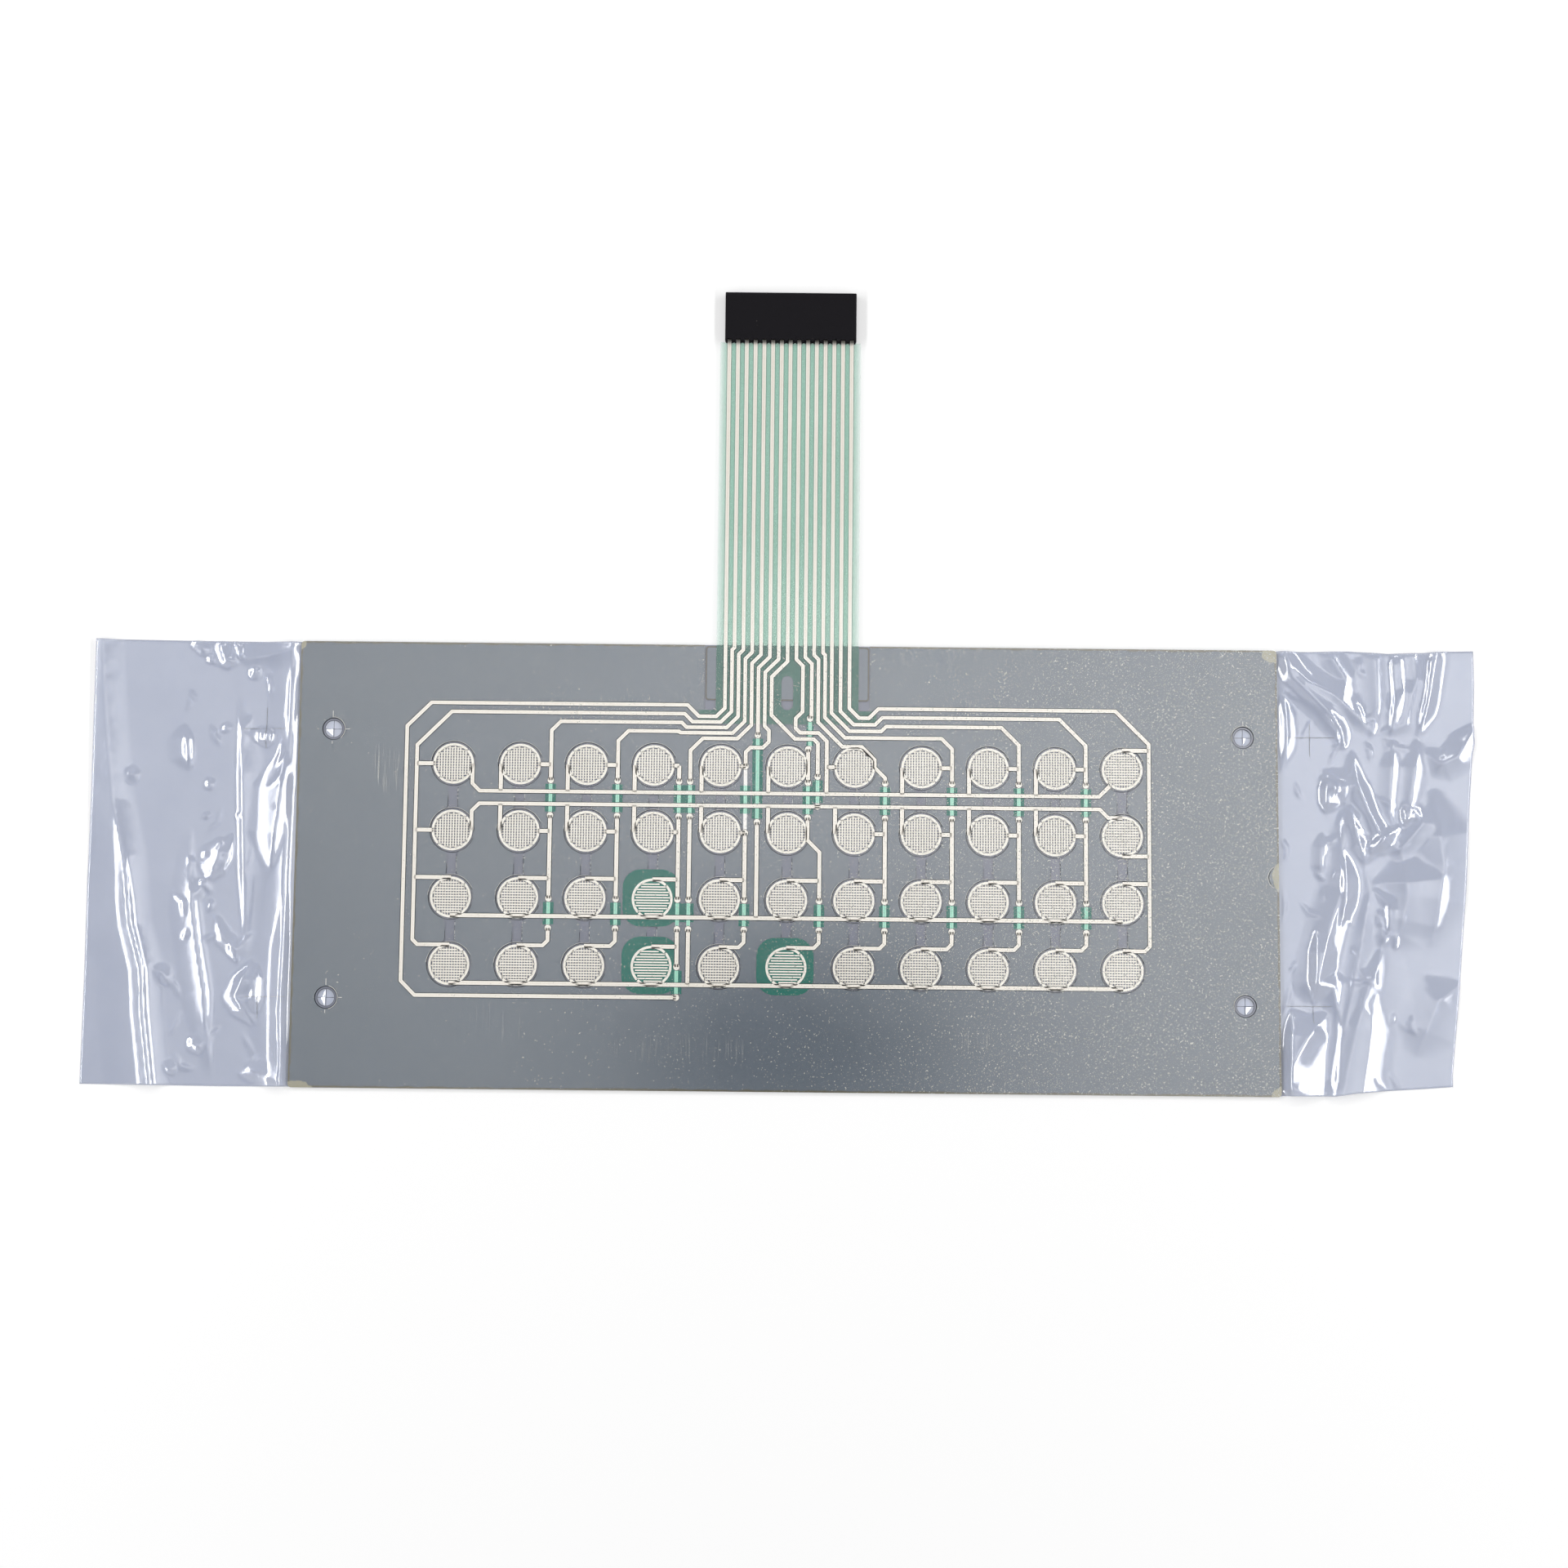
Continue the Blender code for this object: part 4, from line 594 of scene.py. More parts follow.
def add_plate(bm, shapes, cuts, z_low, z_high, slot=0):
    """Add to bm a flat plate in the shape of all the outlines together, less the cuts."""
    spots, faces = [], []
    for outline in shapes + cuts:
        area = sum(a[0] * b[1] - b[0] * a[1] for a, b in zip(outline, outline[1:] + outline[:1]))
        points = outline if area > 0 else outline[::-1]
        faces.append(list(range(len(spots), len(spots) + len(points))))
        spots += [Vector(point) for point in points]
    found = delaunay_2d_cdt(spots, [], faces, 1, 1e-5)
    kept = [t for t, origin in zip(found[2], found[5])
            if any(i < len(shapes) for i in origin) and not any(i >= len(shapes) for i in origin)]
    used = sorted({i for t in kept for i in t})
    upper = {i: bm.verts.new((*found[0][i], z_high)) for i in used}
    lower = {i: bm.verts.new((*found[0][i], z_low)) for i in used}
    sides = {}
    for t in kept:
        for a, b in zip(t, t[1:] + t[:1]):
            if (b, a) in sides:
                del sides[(b, a)]
            else:
                sides[(a, b)] = True
    made = [bm.faces.new([upper[i] for i in t]) for t in kept]
    made += [bm.faces.new([lower[i] for i in reversed(t)]) for t in kept]
    made += [bm.faces.new((upper[b], upper[a], lower[a], lower[b])) for a, b in sides]
    for face in made:
        face.material_index = slot


PANEL = rounded(-PANEL_HALF_X, -PANEL_HALF_Y, PANEL_HALF_X, PANEL_HALF_Y, PANEL_CORNER)

# Textured polyester: dark grey print behind a coined matte face
overlay_print, tree, shader, place = new_material("polyester_overlay_coined_matte", "#3b3e42", 0.55)
grain = dapple(shader, place, 4200.0, 2.0, "#34373b", "#45484c")
feed(shader, "Normal", bump(tree, grain, 0.4, 0.00004))

bm = bmesh.new()
add_plate(bm, [PANEL], [circle(x, y, NARROW_HOLE) for x, y in HOLES], *OVERLAY_LEVELS)
overlay = piece_from(bm, "overlay_sheet", overlay_print)
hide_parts("graphic_overlay")

# ---------------------------------------------------------------- shorting film
# Smoked polyester behind the overlay. Each key has a silver pad printed on it in fine
# stripes, which bridges the two combs above when the key is pressed.
SHORTING_LEVELS = (0.37, 0.55)
KEY_PITCH = 19.05
GRID = 0.762
STRIPE_LEVELS = (0.552, 0.594)
KEYS = [(c, r) for c in range(1, 12) for r in range(1, 5)]


def key_x(column):
    return (column - 6) * KEY_PITCH


def key_y(row):
    return (2.5 - row) * KEY_PITCH


def key_turn(column, row):
    """Quarter turns of a key's print, and whether it is mirrored first."""
    return (1 if row > 2 or column == 11 else 0), (column == 1 and row <= 2) or (column == 11 and row == 2)


def on_points(tree, points, instance, **inputs):
    """Put an instance on every point."""
    return add_node(tree, "GeometryNodeInstanceOnPoints", {"Points": points, "Instance": instance, **inputs})


def raised_to(tree, geometry, level):
    lift = xyz(tree, 0.0, 0.0, level)
    return add_node(tree, "GeometryNodeTransform", {"Geometry": geometry, "Translation": lift})


def dress(name, material):
    """Give a CAD node one material."""
    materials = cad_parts[name].data.materials
    materials.clear()
    materials.append(material)


def finished(mesh, name):
    """Object from a grown mesh, riding on the root body."""
    piece = bpy.data.objects.new(name, mesh)
    scene.collection.objects.link(piece)
    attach(piece, "root")
    return piece


def named_inputs(tree, **sizes):
    """Give a geometry tree its geometry and its named sizes, and return the group input."""
    tree.interface.new_socket("Geometry", in_out="INPUT", socket_type="NodeSocketGeometry")
    for name, value in sizes.items():
        kind = {bool: "NodeSocketBool", int: "NodeSocketInt", float: "NodeSocketFloat"}.get(
            type(value), "NodeSocketMaterial")
        socket = tree.interface.new_socket(name.replace("_", " "), in_out="INPUT", socket_type=kind)
        socket.default_value = value
    tree.interface.new_socket("Geometry", in_out="OUTPUT", socket_type="NodeSocketGeometry")
    return add_node(tree, "NodeGroupInput").outputs


def band(tree, curve, width, height):
    """Flat band along a curve."""
    upright = add_node(tree, "GeometryNodeSetCurveNormal", {"Curve": curve}, mode="Z_UP")
    profile = add_node(tree, "GeometryNodeCurvePrimitiveQuadrilateral", {"Width": width, "Height": height})
    return add_node(tree, "GeometryNodeCurveToMesh", {"Curve": upright, "Profile Curve": profile,
                                                      "Fill Caps": True})


def thickness_and_middle(tree, low, high):
    """Thickness of a print between two levels, and the level of its middle."""
    total = calc(tree, "ADD", high, low)
    return calc(tree, "SUBTRACT", high, low), calc(tree, "MULTIPLY", total, 0.5)


def end_tree(tree, geometry, material):
    """Make a tree's geometry real and give it out in one material."""
    real = add_node(tree, "GeometryNodeRealizeInstances", {0: geometry})
    done = add_node(tree, "GeometryNodeSetMaterial", {"Geometry": real, "Material": material})
    add_node(tree, "NodeGroupOutput", {0: done})


def grown(tree, mesh, **changes):
    """Plain mesh that the tree makes from mesh, with some of its named inputs changed."""
    carrier = bpy.data.objects.new("carrier", mesh)
    scene.collection.objects.link(carrier)
    modifier = carrier.modifiers.new("grown", "NODES")
    modifier.node_group = tree
    for item in tree.interface.items_tree:
        name = item.name.replace(" ", "_")
        if item.in_out == "INPUT" and name in changes:
            modifier[item.identifier] = changes[name]
    depsgraph = bpy.context.evaluated_depsgraph_get()
    result = bpy.data.meshes.new_from_object(carrier.evaluated_get(depsgraph))
    result.shade_flat()
    carrier.modifiers.clear()
    bpy.data.objects.remove(carrier)
    return result


def bare_points(places, level=0.0):
    """Mesh of bare points for a tree to build on."""
    mesh = bpy.data.meshes.new("bare_points")
    mesh.from_pydata([(x * MM, y * MM, level * MM) for x, y in places], [], [])
    return mesh


def key_points(keys, extra_turn=0):
    """Bare points, one for each key, with the turn and the flip of its print."""
    mesh = bare_points([(key_x(c), key_y(r)) for c, r in keys])
    turn = mesh.attributes.new("turn", "FLOAT", "POINT")
    flip = mesh.attributes.new("flip", "FLOAT", "POINT")
    for i, (c, r) in enumerate(keys):
        quarters, mirrored = key_turn(c, r)
        turn.data[i].value = (quarters + extra_turn) * math.pi / 2
        flip.data[i].value = -1.0 if mirrored else 1.0
    return mesh


# Tree that prints one key pattern on every point: parallel bars clipped to a disc, and,
# where asked for, the half ring that they hang from
key_tree = bpy.data.node_groups.new("printed_key_pattern", "GeometryNodeTree")
put = named_inputs(key_tree, Bars=6, First_Bar=-3.429 * MM, Bar_Step=2 * GRID * MM, Bar_Width=0.38 * MM,
                   Head_Radius=5.3 * MM, Foot_Radius=4.68 * MM, Ring_Radius=5.45 * MM, Ring_Width=0.70 * MM,
                   Split=math.radians(1.4), Low=0.970 * MM, High=1.010 * MM, With_Ring=True,
                   Ink=None)
start = xyz(key_tree, put["First Bar"])
step = xyz(key_tree, put["Bar Step"])
line = add_node(key_tree, "GeometryNodeMeshLine", {"Count": put["Bars"], "Start Location": start,
                                                   "Offset": step})
across = split(key_tree, add_node(key_tree, "GeometryNodeInputPosition"))
square_x = calc(key_tree, "MULTIPLY", across[0], across[0])
ends = []
for radius in ("Head Radius", "Foot Radius"):
    square_r = calc(key_tree, "MULTIPLY", put[radius], put[radius])
    rest = calc(key_tree, "SUBTRACT", square_r, square_x)
    ends.append(calc(key_tree, "SQRT", rest))
length = calc(key_tree, "ADD", ends[0], ends[1])
double = calc(key_tree, "SUBTRACT", ends[0], ends[1])
middle = calc(key_tree, "MULTIPLY", double, 0.5)
thick, level = thickness_and_middle(key_tree, put["Low"], put["High"])
bar_size = xyz(key_tree, put["Bar Width"], length, thick)
bar_place = xyz(key_tree, 0.0, middle)
size_kept = add_node(key_tree, "GeometryNodeCaptureAttribute", {"Geometry": line})
size_kept.capture_items.new("VECTOR", "size")
feed(size_kept, "size", bar_size)
moved = add_node(key_tree, "GeometryNodeSetPosition", {"Geometry": size_kept, "Offset": bar_place})
cube = add_node(key_tree, "GeometryNodeMeshCube", {"Size": (1.0, 1.0, 1.0)})
bars = on_points(key_tree, moved, cube, Scale=size_kept.outputs["size"])
ring_start = calc(key_tree, "ADD", put["Split"], -math.pi / 4)
ring_turn = calc(key_tree, "MULTIPLY_ADD", put["Split"], -2.0, math.pi)
arc = add_node(key_tree, "GeometryNodeCurveArc", {"Resolution": 40, "Radius": put["Ring Radius"],
                                                  "Start Angle": ring_start, "Sweep Angle": ring_turn})
ring = band(key_tree, arc, put["Ring Width"], thick)
ring_or_none = add_node(key_tree, "GeometryNodeSwitch", {"Switch": put["With Ring"], "True": ring},
                        input_type="GEOMETRY")
pattern = add_node(key_tree, "GeometryNodeJoinGeometry", {0: bars})
feed(pattern, 0, ring_or_none)
raised = raised_to(key_tree, pattern, level)
turn = add_node(key_tree, "GeometryNodeInputNamedAttribute", {"Name": "turn"}, data_type="FLOAT")
flip = add_node(key_tree, "GeometryNodeInputNamedAttribute", {"Name": "flip"}, data_type="FLOAT")
turned = xyz(key_tree, 0.0, 0.0, turn)
flipped = xyz(key_tree, flip, 1.0, 1.0)
placed = on_points(key_tree, put["Geometry"], raised, Rotation=turned, Scale=flipped)
end_tree(key_tree, placed, put["Ink"])

# Smoked polyester: lavender grey, smooth, with slow tone changes from the lamination
smoked, tree, shader, place = new_material("polyester_film_smoked", "#6a6e7e", 0.40, **UNDER_FILM)
dapple(shader, place, 70.0, 3.0, "#575c6f", "#676c7e")

bm = bmesh.new()
add_plate(bm, [PANEL], [circle(x, y, NARROW_HOLE) for x, y in HOLES], *SHORTING_LEVELS)
shorting = piece_from(bm, "shorting_sheet", smoked)
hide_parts("shorting_film")

# Shorting print: silver ink screened in stripes, a little darker than the traces as painted shade for where it
# lies under the combs
silver_shaded, tree, shader, place = new_material("silver_ink_screened_shorting", "#cdc4b8", 0.5, **UNDER_FILM)
dapple(shader, place, 2600.0, 2.0, "#dcd5c9", "#eee7dc")
stripes = grown(key_tree, key_points(KEYS, 1), Bars=15, First_Bar=-7 * GRID * MM, Bar_Step=GRID * MM,
                Bar_Width=0.34 * MM, Head_Radius=5.45 * MM, Foot_Radius=5.45 * MM, Low=STRIPE_LEVELS[0] * MM,
                High=STRIPE_LEVELS[1] * MM, With_Ring=False, Ink=silver_shaded)
finished(stripes, "shorting_stripes")

# ---------------------------------------------------------------- adhesive spacer
# Grey acrylic adhesive on both faces of a carrier, die cut with an aperture for each key,
# vent channels between them and a notch at the tail, which a loose pad of it fills.
SPACER_LEVELS = (0.56, 0.86)
APERTURE = 6.35
CHANNEL = 2.8
FLARE = 1.1
NOTCH = (-24.1, 23.3, 44.26)
NOTCH_LINE = 0.12
NOTCH_LINE_LEVELS = (0.84, 0.868)
EXIT_PAD = (-23.8, 47.56, 23.0, 63.2)
PAD_ROUND, PAD_INNER_ROUND = 0.8, 0.6
SEAM = 0.42
RING_LINE = 0.14
LINE_LEVEL = 0.866
LINE_HEIGHT = 0.008
DARK_LINE_LEVEL = 0.8645
DASH_ASIDE = 0.02
DASH_FOOT = 6.9
FLARE_FOOT, FLARE_HEAD = 5.6, 7.3
LOOSE_CORNERS = (((-139.7, 63.5), (1.6, 2.2)), ((139.7, 63.5), (3.6, 3.6)), ((139.7, -63.5), (2.8, 2.8)),
                 ((-137.0, -64.4), (4.6, 2.9)), ((140.6, -1.7), (2.6, 4.4)))

# Acrylic adhesive: grey, slightly mottled, amber where it has aged at the cut edge, and
# paler at the corners where the sheets have let go
adhesive, tree, shader, place = new_material("acrylic_adhesive_aged_grey", "#67707b", 0.40, **UNDER_FILM)
axes = split(tree, place)
mottle = noise(tree, place, 900.0, 4.0)
patchy = noise(tree, place, 28.0, 4.0)
tone = tint(tree, mottle, "#525c69", "#626c79")
warm = tint(tree, patchy, tone, "#5c656f")
margins = []
for axis, half_size in ((0, PANEL_HALF_X), (1, PANEL_HALF_Y)):
    size = calc(tree, "ABSOLUTE", axes[axis])
    margins.append(calc(tree, "SUBTRACT", half_size * MM, size))
nearest = calc(tree, "MINIMUM", margins[0], margins[1])
ragged = noise(tree, place, 240.0, 5.0)
wavy = calc(tree, "MULTIPLY_ADD", ragged, -0.0011, nearest)
rim_share = ramp(tree, wavy, -0.0002, 0.0002, 0.9, 0.0)
colour = tint(tree, rim_share, warm, "#59543f")
for spot, reach in LOOSE_CORNERS:
    away = distance_from(tree, place, spot, reach)
    uneven = calc(tree, "MULTIPLY_ADD", ragged, 1.3, away)
    loose = ramp(tree, uneven, 1.6, 1.7, 0.85, 0.0)
    colour = tint(tree, loose, colour, "#9f9b84")
feed(shader, "Base Color", colour)
feed(shader, "Coat Normal", bump(tree, patchy, 0.12, 0.0008))

# Painted shadow: a thin dark see-through line along each step under the clear film, where the film tents over
# it, standing in for the shade there; it fades out past the panel's edge
painted_shadow_line, tree, shader, place = new_material("air_line_under_film", "#26292e", 0.5, Alpha=0.5,
                                                Specular_IOR_Level=0.0)
breaks = noise(tree, place, 700.0, 2.0)
clear = ramp(tree, breaks, 0.3, 0.7, 0.4, 0.62)
axes = split(tree, place)
on_panel = ramp(tree, axes[1], PANEL_HALF_Y * MM, (PANEL_HALF_Y + 1.0) * MM, 1.0, 0.12)
feed(shader, "Alpha", calc(tree, "MULTIPLY", clear, on_panel))

# Painted highlight: a pale line that stands in for the glint along a cut edge
painted_highlight_line, tree, shader, place = new_material("adhesive_bead_pale", "#c3c4c2", 0.35, Specular_IOR_Level=0.2)
dapple(shader, place, 1500.0, 2.0, "#a4a5a6", "#e2e1dc")

# Adhesive squeezed out round the loose pad, brown with dust
squeezed, tree, shader, place = new_material("adhesive_squeezed_brown", "#37332a", 0.5, **UNDER_FILM)
dapple(shader, place, 900.0, 3.0, "#24211b", "#4a4436")

cuts = [circle(x, y, WIDE_HOLE) for x, y in HOLES]
for column in range(1, 12):
    x = key_x(column)
    cuts.append(rectangle(x - CHANNEL / 2, key_y(4), x + CHANNEL / 2, key_y(1)))
    for row in range(1, 5):
        y = key_y(row)
        cuts.append(circle(x, y, APERTURE))
        for way in (1, -1):
            if 1 <= row - way <= 4:
                foot, head = y + way * FLARE_FOOT, y + way * FLARE_HEAD
                cuts.append([(x - CHANNEL / 2 - FLARE, foot), (x + CHANNEL / 2 + FLARE, foot),
                             (x + CHANNEL / 2, head), (x - CHANNEL / 2, head)])
cuts.append(rectangle(NOTCH[0], NOTCH[2], NOTCH[1], PANEL_HALF_Y + 1))
bm = bmesh.new()
add_plate(bm, [PANEL], cuts, *SPACER_LEVELS)
# A dark strip of painted shadow along the notch's edge
add_plate(bm, [rectangle(NOTCH[0], NOTCH[2] - NOTCH_LINE, NOTCH[1], NOTCH[2] + NOTCH_LINE)], [],
          *NOTCH_LINE_LEVELS, 1)
spacer = piece_from(bm, "spacer_die_cut", adhesive, painted_shadow_line)
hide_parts("spacer")

bm = bmesh.new()
outer = rounded(*EXIT_PAD, PAD_ROUND)
inner = rounded(EXIT_PAD[0] + SEAM, EXIT_PAD[1] + SEAM, EXIT_PAD[2] - SEAM, EXIT_PAD[3] - SEAM,
                PAD_INNER_ROUND)
add_plate(bm, [inner], [], *SPACER_LEVELS)
add_plate(bm, [outer], [inner], *SPACER_LEVELS, 1)
exit_pad = piece_from(bm, "exit_pad_loose", adhesive, squeezed)
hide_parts("tail_exit_pad")

# Tree that rings every point with a thin flat line, for the edge of each aperture; by default the line is
# painted shadow
ring_tree = bpy.data.node_groups.new("line_round_aperture", "GeometryNodeTree")
put = named_inputs(ring_tree, Radius=APERTURE * MM, Line_Width=RING_LINE * MM, Start=0.0, Turn=2 * math.pi,
                   Level=LINE_LEVEL * MM, Line_Height=LINE_HEIGHT * MM, Finish=painted_shadow_line)
arc = add_node(ring_tree, "GeometryNodeCurveArc", {"Resolution": 48, "Radius": put["Radius"],
                                                   "Start Angle": put["Start"], "Sweep Angle": put["Turn"]})
edge_line = band(ring_tree, arc, put["Line Width"], put["Line Height"])
raised = raised_to(ring_tree, edge_line, put["Level"])
placed = on_points(ring_tree, put["Geometry"], raised)
end_tree(ring_tree, placed, put["Finish"])


# Painted shadow round the edge of each aperture, and just outside it an arc of painted highlight
finished(grown(ring_tree, key_points(KEYS), Start=math.radians(20), Turn=math.radians(320)),
         "aperture_edge_lines")
finished(grown(ring_tree, key_points(KEYS), Radius=(APERTURE + 0.17) * MM, Line_Width=0.10 * MM,
               Start=math.radians(25), Turn=math.radians(150), Finish=painted_highlight_line),
         "aperture_edge_glints")

# Tree that runs broken dashes up each point's channel edge, with a fixed seed; by default the dashes are painted
# highlight
dash_tree = bpy.data.node_groups.new("dashes_along_channel", "GeometryNodeTree")
put = named_inputs(dash_tree, Reach=5.6 * MM, Dashes=15, Dash_Width=0.11 * MM, Dash_Length=0.42 * MM, Kept=0.5,
                   Level=LINE_LEVEL * MM, Dash_Height=LINE_HEIGHT * MM, Seed=3, Finish=painted_highlight_line)
start = xyz(dash_tree, 0.0, 0.0, put["Level"])
spread = calc(dash_tree, "DIVIDE", put["Reach"], put["Dashes"])
step = xyz(dash_tree, 0.0, spread)
line = add_node(dash_tree, "GeometryNodeMeshLine", {"Count": put["Dashes"], "Start Location": start,
                                                    "Offset": step})
lines = on_points(dash_tree, put["Geometry"], line)
spots = add_node(dash_tree, "GeometryNodeRealizeInstances", {0: lines})
chance = add_node(dash_tree, "FunctionNodeRandomValue", {"Probability": put["Kept"], "Seed": put["Seed"]},
                  data_type="BOOLEAN")
size = xyz(dash_tree, put["Dash Width"], put["Dash Length"], put["Dash Height"])
cube = add_node(dash_tree, "GeometryNodeMeshCube", {"Size": (1.0, 1.0, 1.0)})
dashes = on_points(dash_tree, spots, cube, Selection=chance, Scale=size)
end_tree(dash_tree, dashes, put["Finish"])


def channel_points(side):
    """Bare points at the foot of each channel's left or right edge."""
    return bare_points([(key_x(c) + side * (CHANNEL / 2 + DASH_ASIDE), key_y(r) + DASH_FOOT)
                        for c in range(1, 12) for r in range(2, 5)])


# Channel edges: pale dashes of painted highlight, and dark dashes and lines of painted shadow
finished(grown(dash_tree, channel_points(1), Seed=4, Kept=0.45), "channel_dashes_pale")
finished(grown(dash_tree, channel_points(1), Seed=9, Kept=0.7, Level=DARK_LINE_LEVEL * MM, Finish=painted_shadow_line),
         "channel_dashes_dark")
finished(grown(dash_tree, channel_points(-1), Dashes=1, Kept=1.0, Dash_Length=5.2 * MM, Dash_Width=0.09 * MM,
               Level=DARK_LINE_LEVEL * MM, Finish=painted_shadow_line), "channel_lines_dark")

# Mounting holes: the protective film shows at the bottom of each, slit crosswise, and one
# or two of its petals stand up and catch the light. The slits ran on into the spacer.
HOLE_RIMS = (((-1, 1), (-50, 145)), ((-1, -1), (-75, 150)), ((1, 1), (60, 140)), ((1, -1), (80, 115)))
PETALS = (
    ((-1, 1), ((-2.3, -0.1), (-0.12, -0.1), (-0.12, -1.9))),
    ((-1, -1), ((-1.5, 0.0), (-0.15, 0.0), (-0.3, -2.3))),
    ((-1, -1), ((-0.9, 0.35), (-0.12, 0.35), (-0.12, 2.2))),
    ((1, 1), ((0.95, -0.1), (0.12, -0.1), (0.12, -2.1))),
    ((1, -1), ((1.8, -0.15), (0.12, -0.12), (0.12, -2.3))),
)
PETAL_SLOPE = (0.33, 0.20)
PETAL_THICKNESS = 0.05
PETAL_FOOT = 0.106
PETAL_STEEPEST = -1.9
SLIT = 0.11
SLIT_REACH = 2.4
SLIT_LEVELS = (0.101, 0.104)
NICK = 0.26
NICK_LEVELS = (0.862, 0.872)
CROSS_NICK = (3.5, 4.6, 0.1)
NICKS = (((-1, 1), (-0.2, 3.5, 5.2)), ((-1, 1), (-0.3, -4.3, -3.5)), ((-1, -1), (0.0, 3.5, 5.3)),
         ((-1, -1), (-0.1, -4.4, -3.5)), ((1, 1), (0.05, 3.5, 4.7)), ((1, 1), (0.05, -5.0, -3.5)),
         ((1, -1), (0.0, -4.0, -3.5)), ((1, -1), (0.05, -5.3, -4.9)))
BLISTER = (139.9, -1.7, 3.4)


# Round the holes: arcs of painted highlight on the film's rim, and dark rings of painted shadow on the hole
# walls and inner edges. At the blister: an arc of painted highlight and one of painted shadow.
# Thin round lines: name, slot, places, radius, width, start and turn in degrees, level,
# height and finish
ROUND_LINES = [(f"hole_rim_glint_{sx}_{sy}", "clear_film", [(sx * HOLE_X, sy * HOLE_Y)], 3.36, 0.16, start, turn,
                1.214, LINE_HEIGHT, painted_highlight_line) for (sx, sy), (start, turn) in HOLE_RIMS]
ROUND_LINES += [
    ("hole_walls_dark", "spacer", HOLES, 3.09, 0.17, 0, 360, 0.600, 0.05, painted_shadow_line),
    ("hole_inner_edges", "shorting_film", HOLES, 2.47, 0.10, 0, 360, 0.556, LINE_HEIGHT, painted_shadow_line),
    ("blister_edge", "spacer", [BLISTER[:2]], BLISTER[2], 0.16, 118, 122, LINE_LEVEL, LINE_HEIGHT, painted_highlight_line),
    ("blister_shadow", "spacer", [BLISTER[:2]], BLISTER[2] - 0.3, 0.18, 122, 112, LINE_LEVEL, LINE_HEIGHT,
     painted_shadow_line),
]
for name, slot, places, radius, width, start, turn, level, height, finish in ROUND_LINES:
    lines = grown(ring_tree, bare_points(places), Radius=radius * MM, Line_Width=width * MM,
                  Start=math.radians(start), Turn=math.radians(turn), Level=level * MM, Line_Height=height * MM,
                  Finish=finish)
    finished(lines, name)

bm = bmesh.new()
for (sx, sy), corners in PETALS:
    foot = corners[0]
    slope = PETAL_SLOPE[0] if sx < 0 else -PETAL_SLOPE[0]
    rise = [PETAL_FOOT + slope * (x - foot[0]) + PETAL_SLOPE[1] * max(y - foot[1], PETAL_STEEPEST)
            for x, y in corners]
    lowest = min(rise)
    top = [bm.verts.new((sx * HOLE_X + x, sy * HOLE_Y + y, PETAL_FOOT + z - lowest + PETAL_THICKNESS))
           for (x, y), z in zip(corners, rise)]
    under = [bm.verts.new((v.co.x, v.co.y, v.co.z - PETAL_THICKNESS)) for v in top]
    bm.faces.new(top)
    bm.faces.new(under[::-1])
    for k in range(3):
        bm.faces.new((top[k - 1], top[k], under[k], under[k - 1]))
bmesh.ops.recalc_face_normals(bm, faces=bm.faces)
# Slits: strips in the dark painted shadow colour, crosswise over the film at the bottom of each hole
for x, y in HOLES:
    add_plate(bm, [rectangle(x - SLIT / 2, y - SLIT_REACH, x + SLIT / 2, y + SLIT_REACH),
                   rectangle(x - SLIT_REACH, y - SLIT / 2, x + SLIT_REACH, y + SLIT / 2)], [], *SLIT_LEVELS, 1)
petals = piece_from(bm, "hole_petals", film_blue, painted_shadow_line)

# Slit ends in the spacer: short pale strips of painted highlight
bm = bmesh.new()
for (sx, sy), (x, low, high) in NICKS:
    x, y = sx * HOLE_X + x, sy * HOLE_Y
    add_plate(bm, [rectangle(x - NICK / 2, y + low, x + NICK / 2, y + high)], [], *NICK_LEVELS)
for x, y in HOLES[:2]:
    add_plate(bm, [rectangle(x + CROSS_NICK[0], y - CROSS_NICK[2], x + CROSS_NICK[1], y + CROSS_NICK[2])], [],
              *NICK_LEVELS)
nicks = piece_from(bm, "hole_slit_ends", painted_highlight_line)

# ---------------------------------------------------------------- silver traces and jumpers
# Silver ink screened on the film in two passes: traces with the key combs, and, over the
# dielectric, the jumpers. The ink dries cream. Each trace has a darker band of painted shade
# down its middle, which leaves its edges looking whiter.
TRACE_WIDTH = 1.10
CORE_WIDTH = 0.34
SHADOW_WIDTH = 1.48
SHADOW_LEVELS = (0.962, 0.967)
VIA_RIM = 0.13
CORE_RISE = 0.004
POST = 0.7
POST_RISE = 0.01
TRACE_LOW = 0.970
TRACE_HIGH = 1.010
VIA_RADIUS = 0.90
JUMPER_WIDTH = 1.02
JUMPER_LEVELS = (0.872, 0.918)
TOP, SECOND, THIRD, FOURTH = 24.05, 14.05, -9.66, -18.0
STUB = 5.6
CORNER = 1.4
LINES = {1: -105.75, 4: -30.95, 5: -12.05, 6: 5.75, 11: 102.9}
LOWER_LINE_6 = 9.2
SEAT = 5.3
LINE_ASIDE = 8.7
ROW_ASIDE = 5.5
ROW_LINES = {1: 20.85, 2: 17.25, 3: -14.66, 4: -33.71}
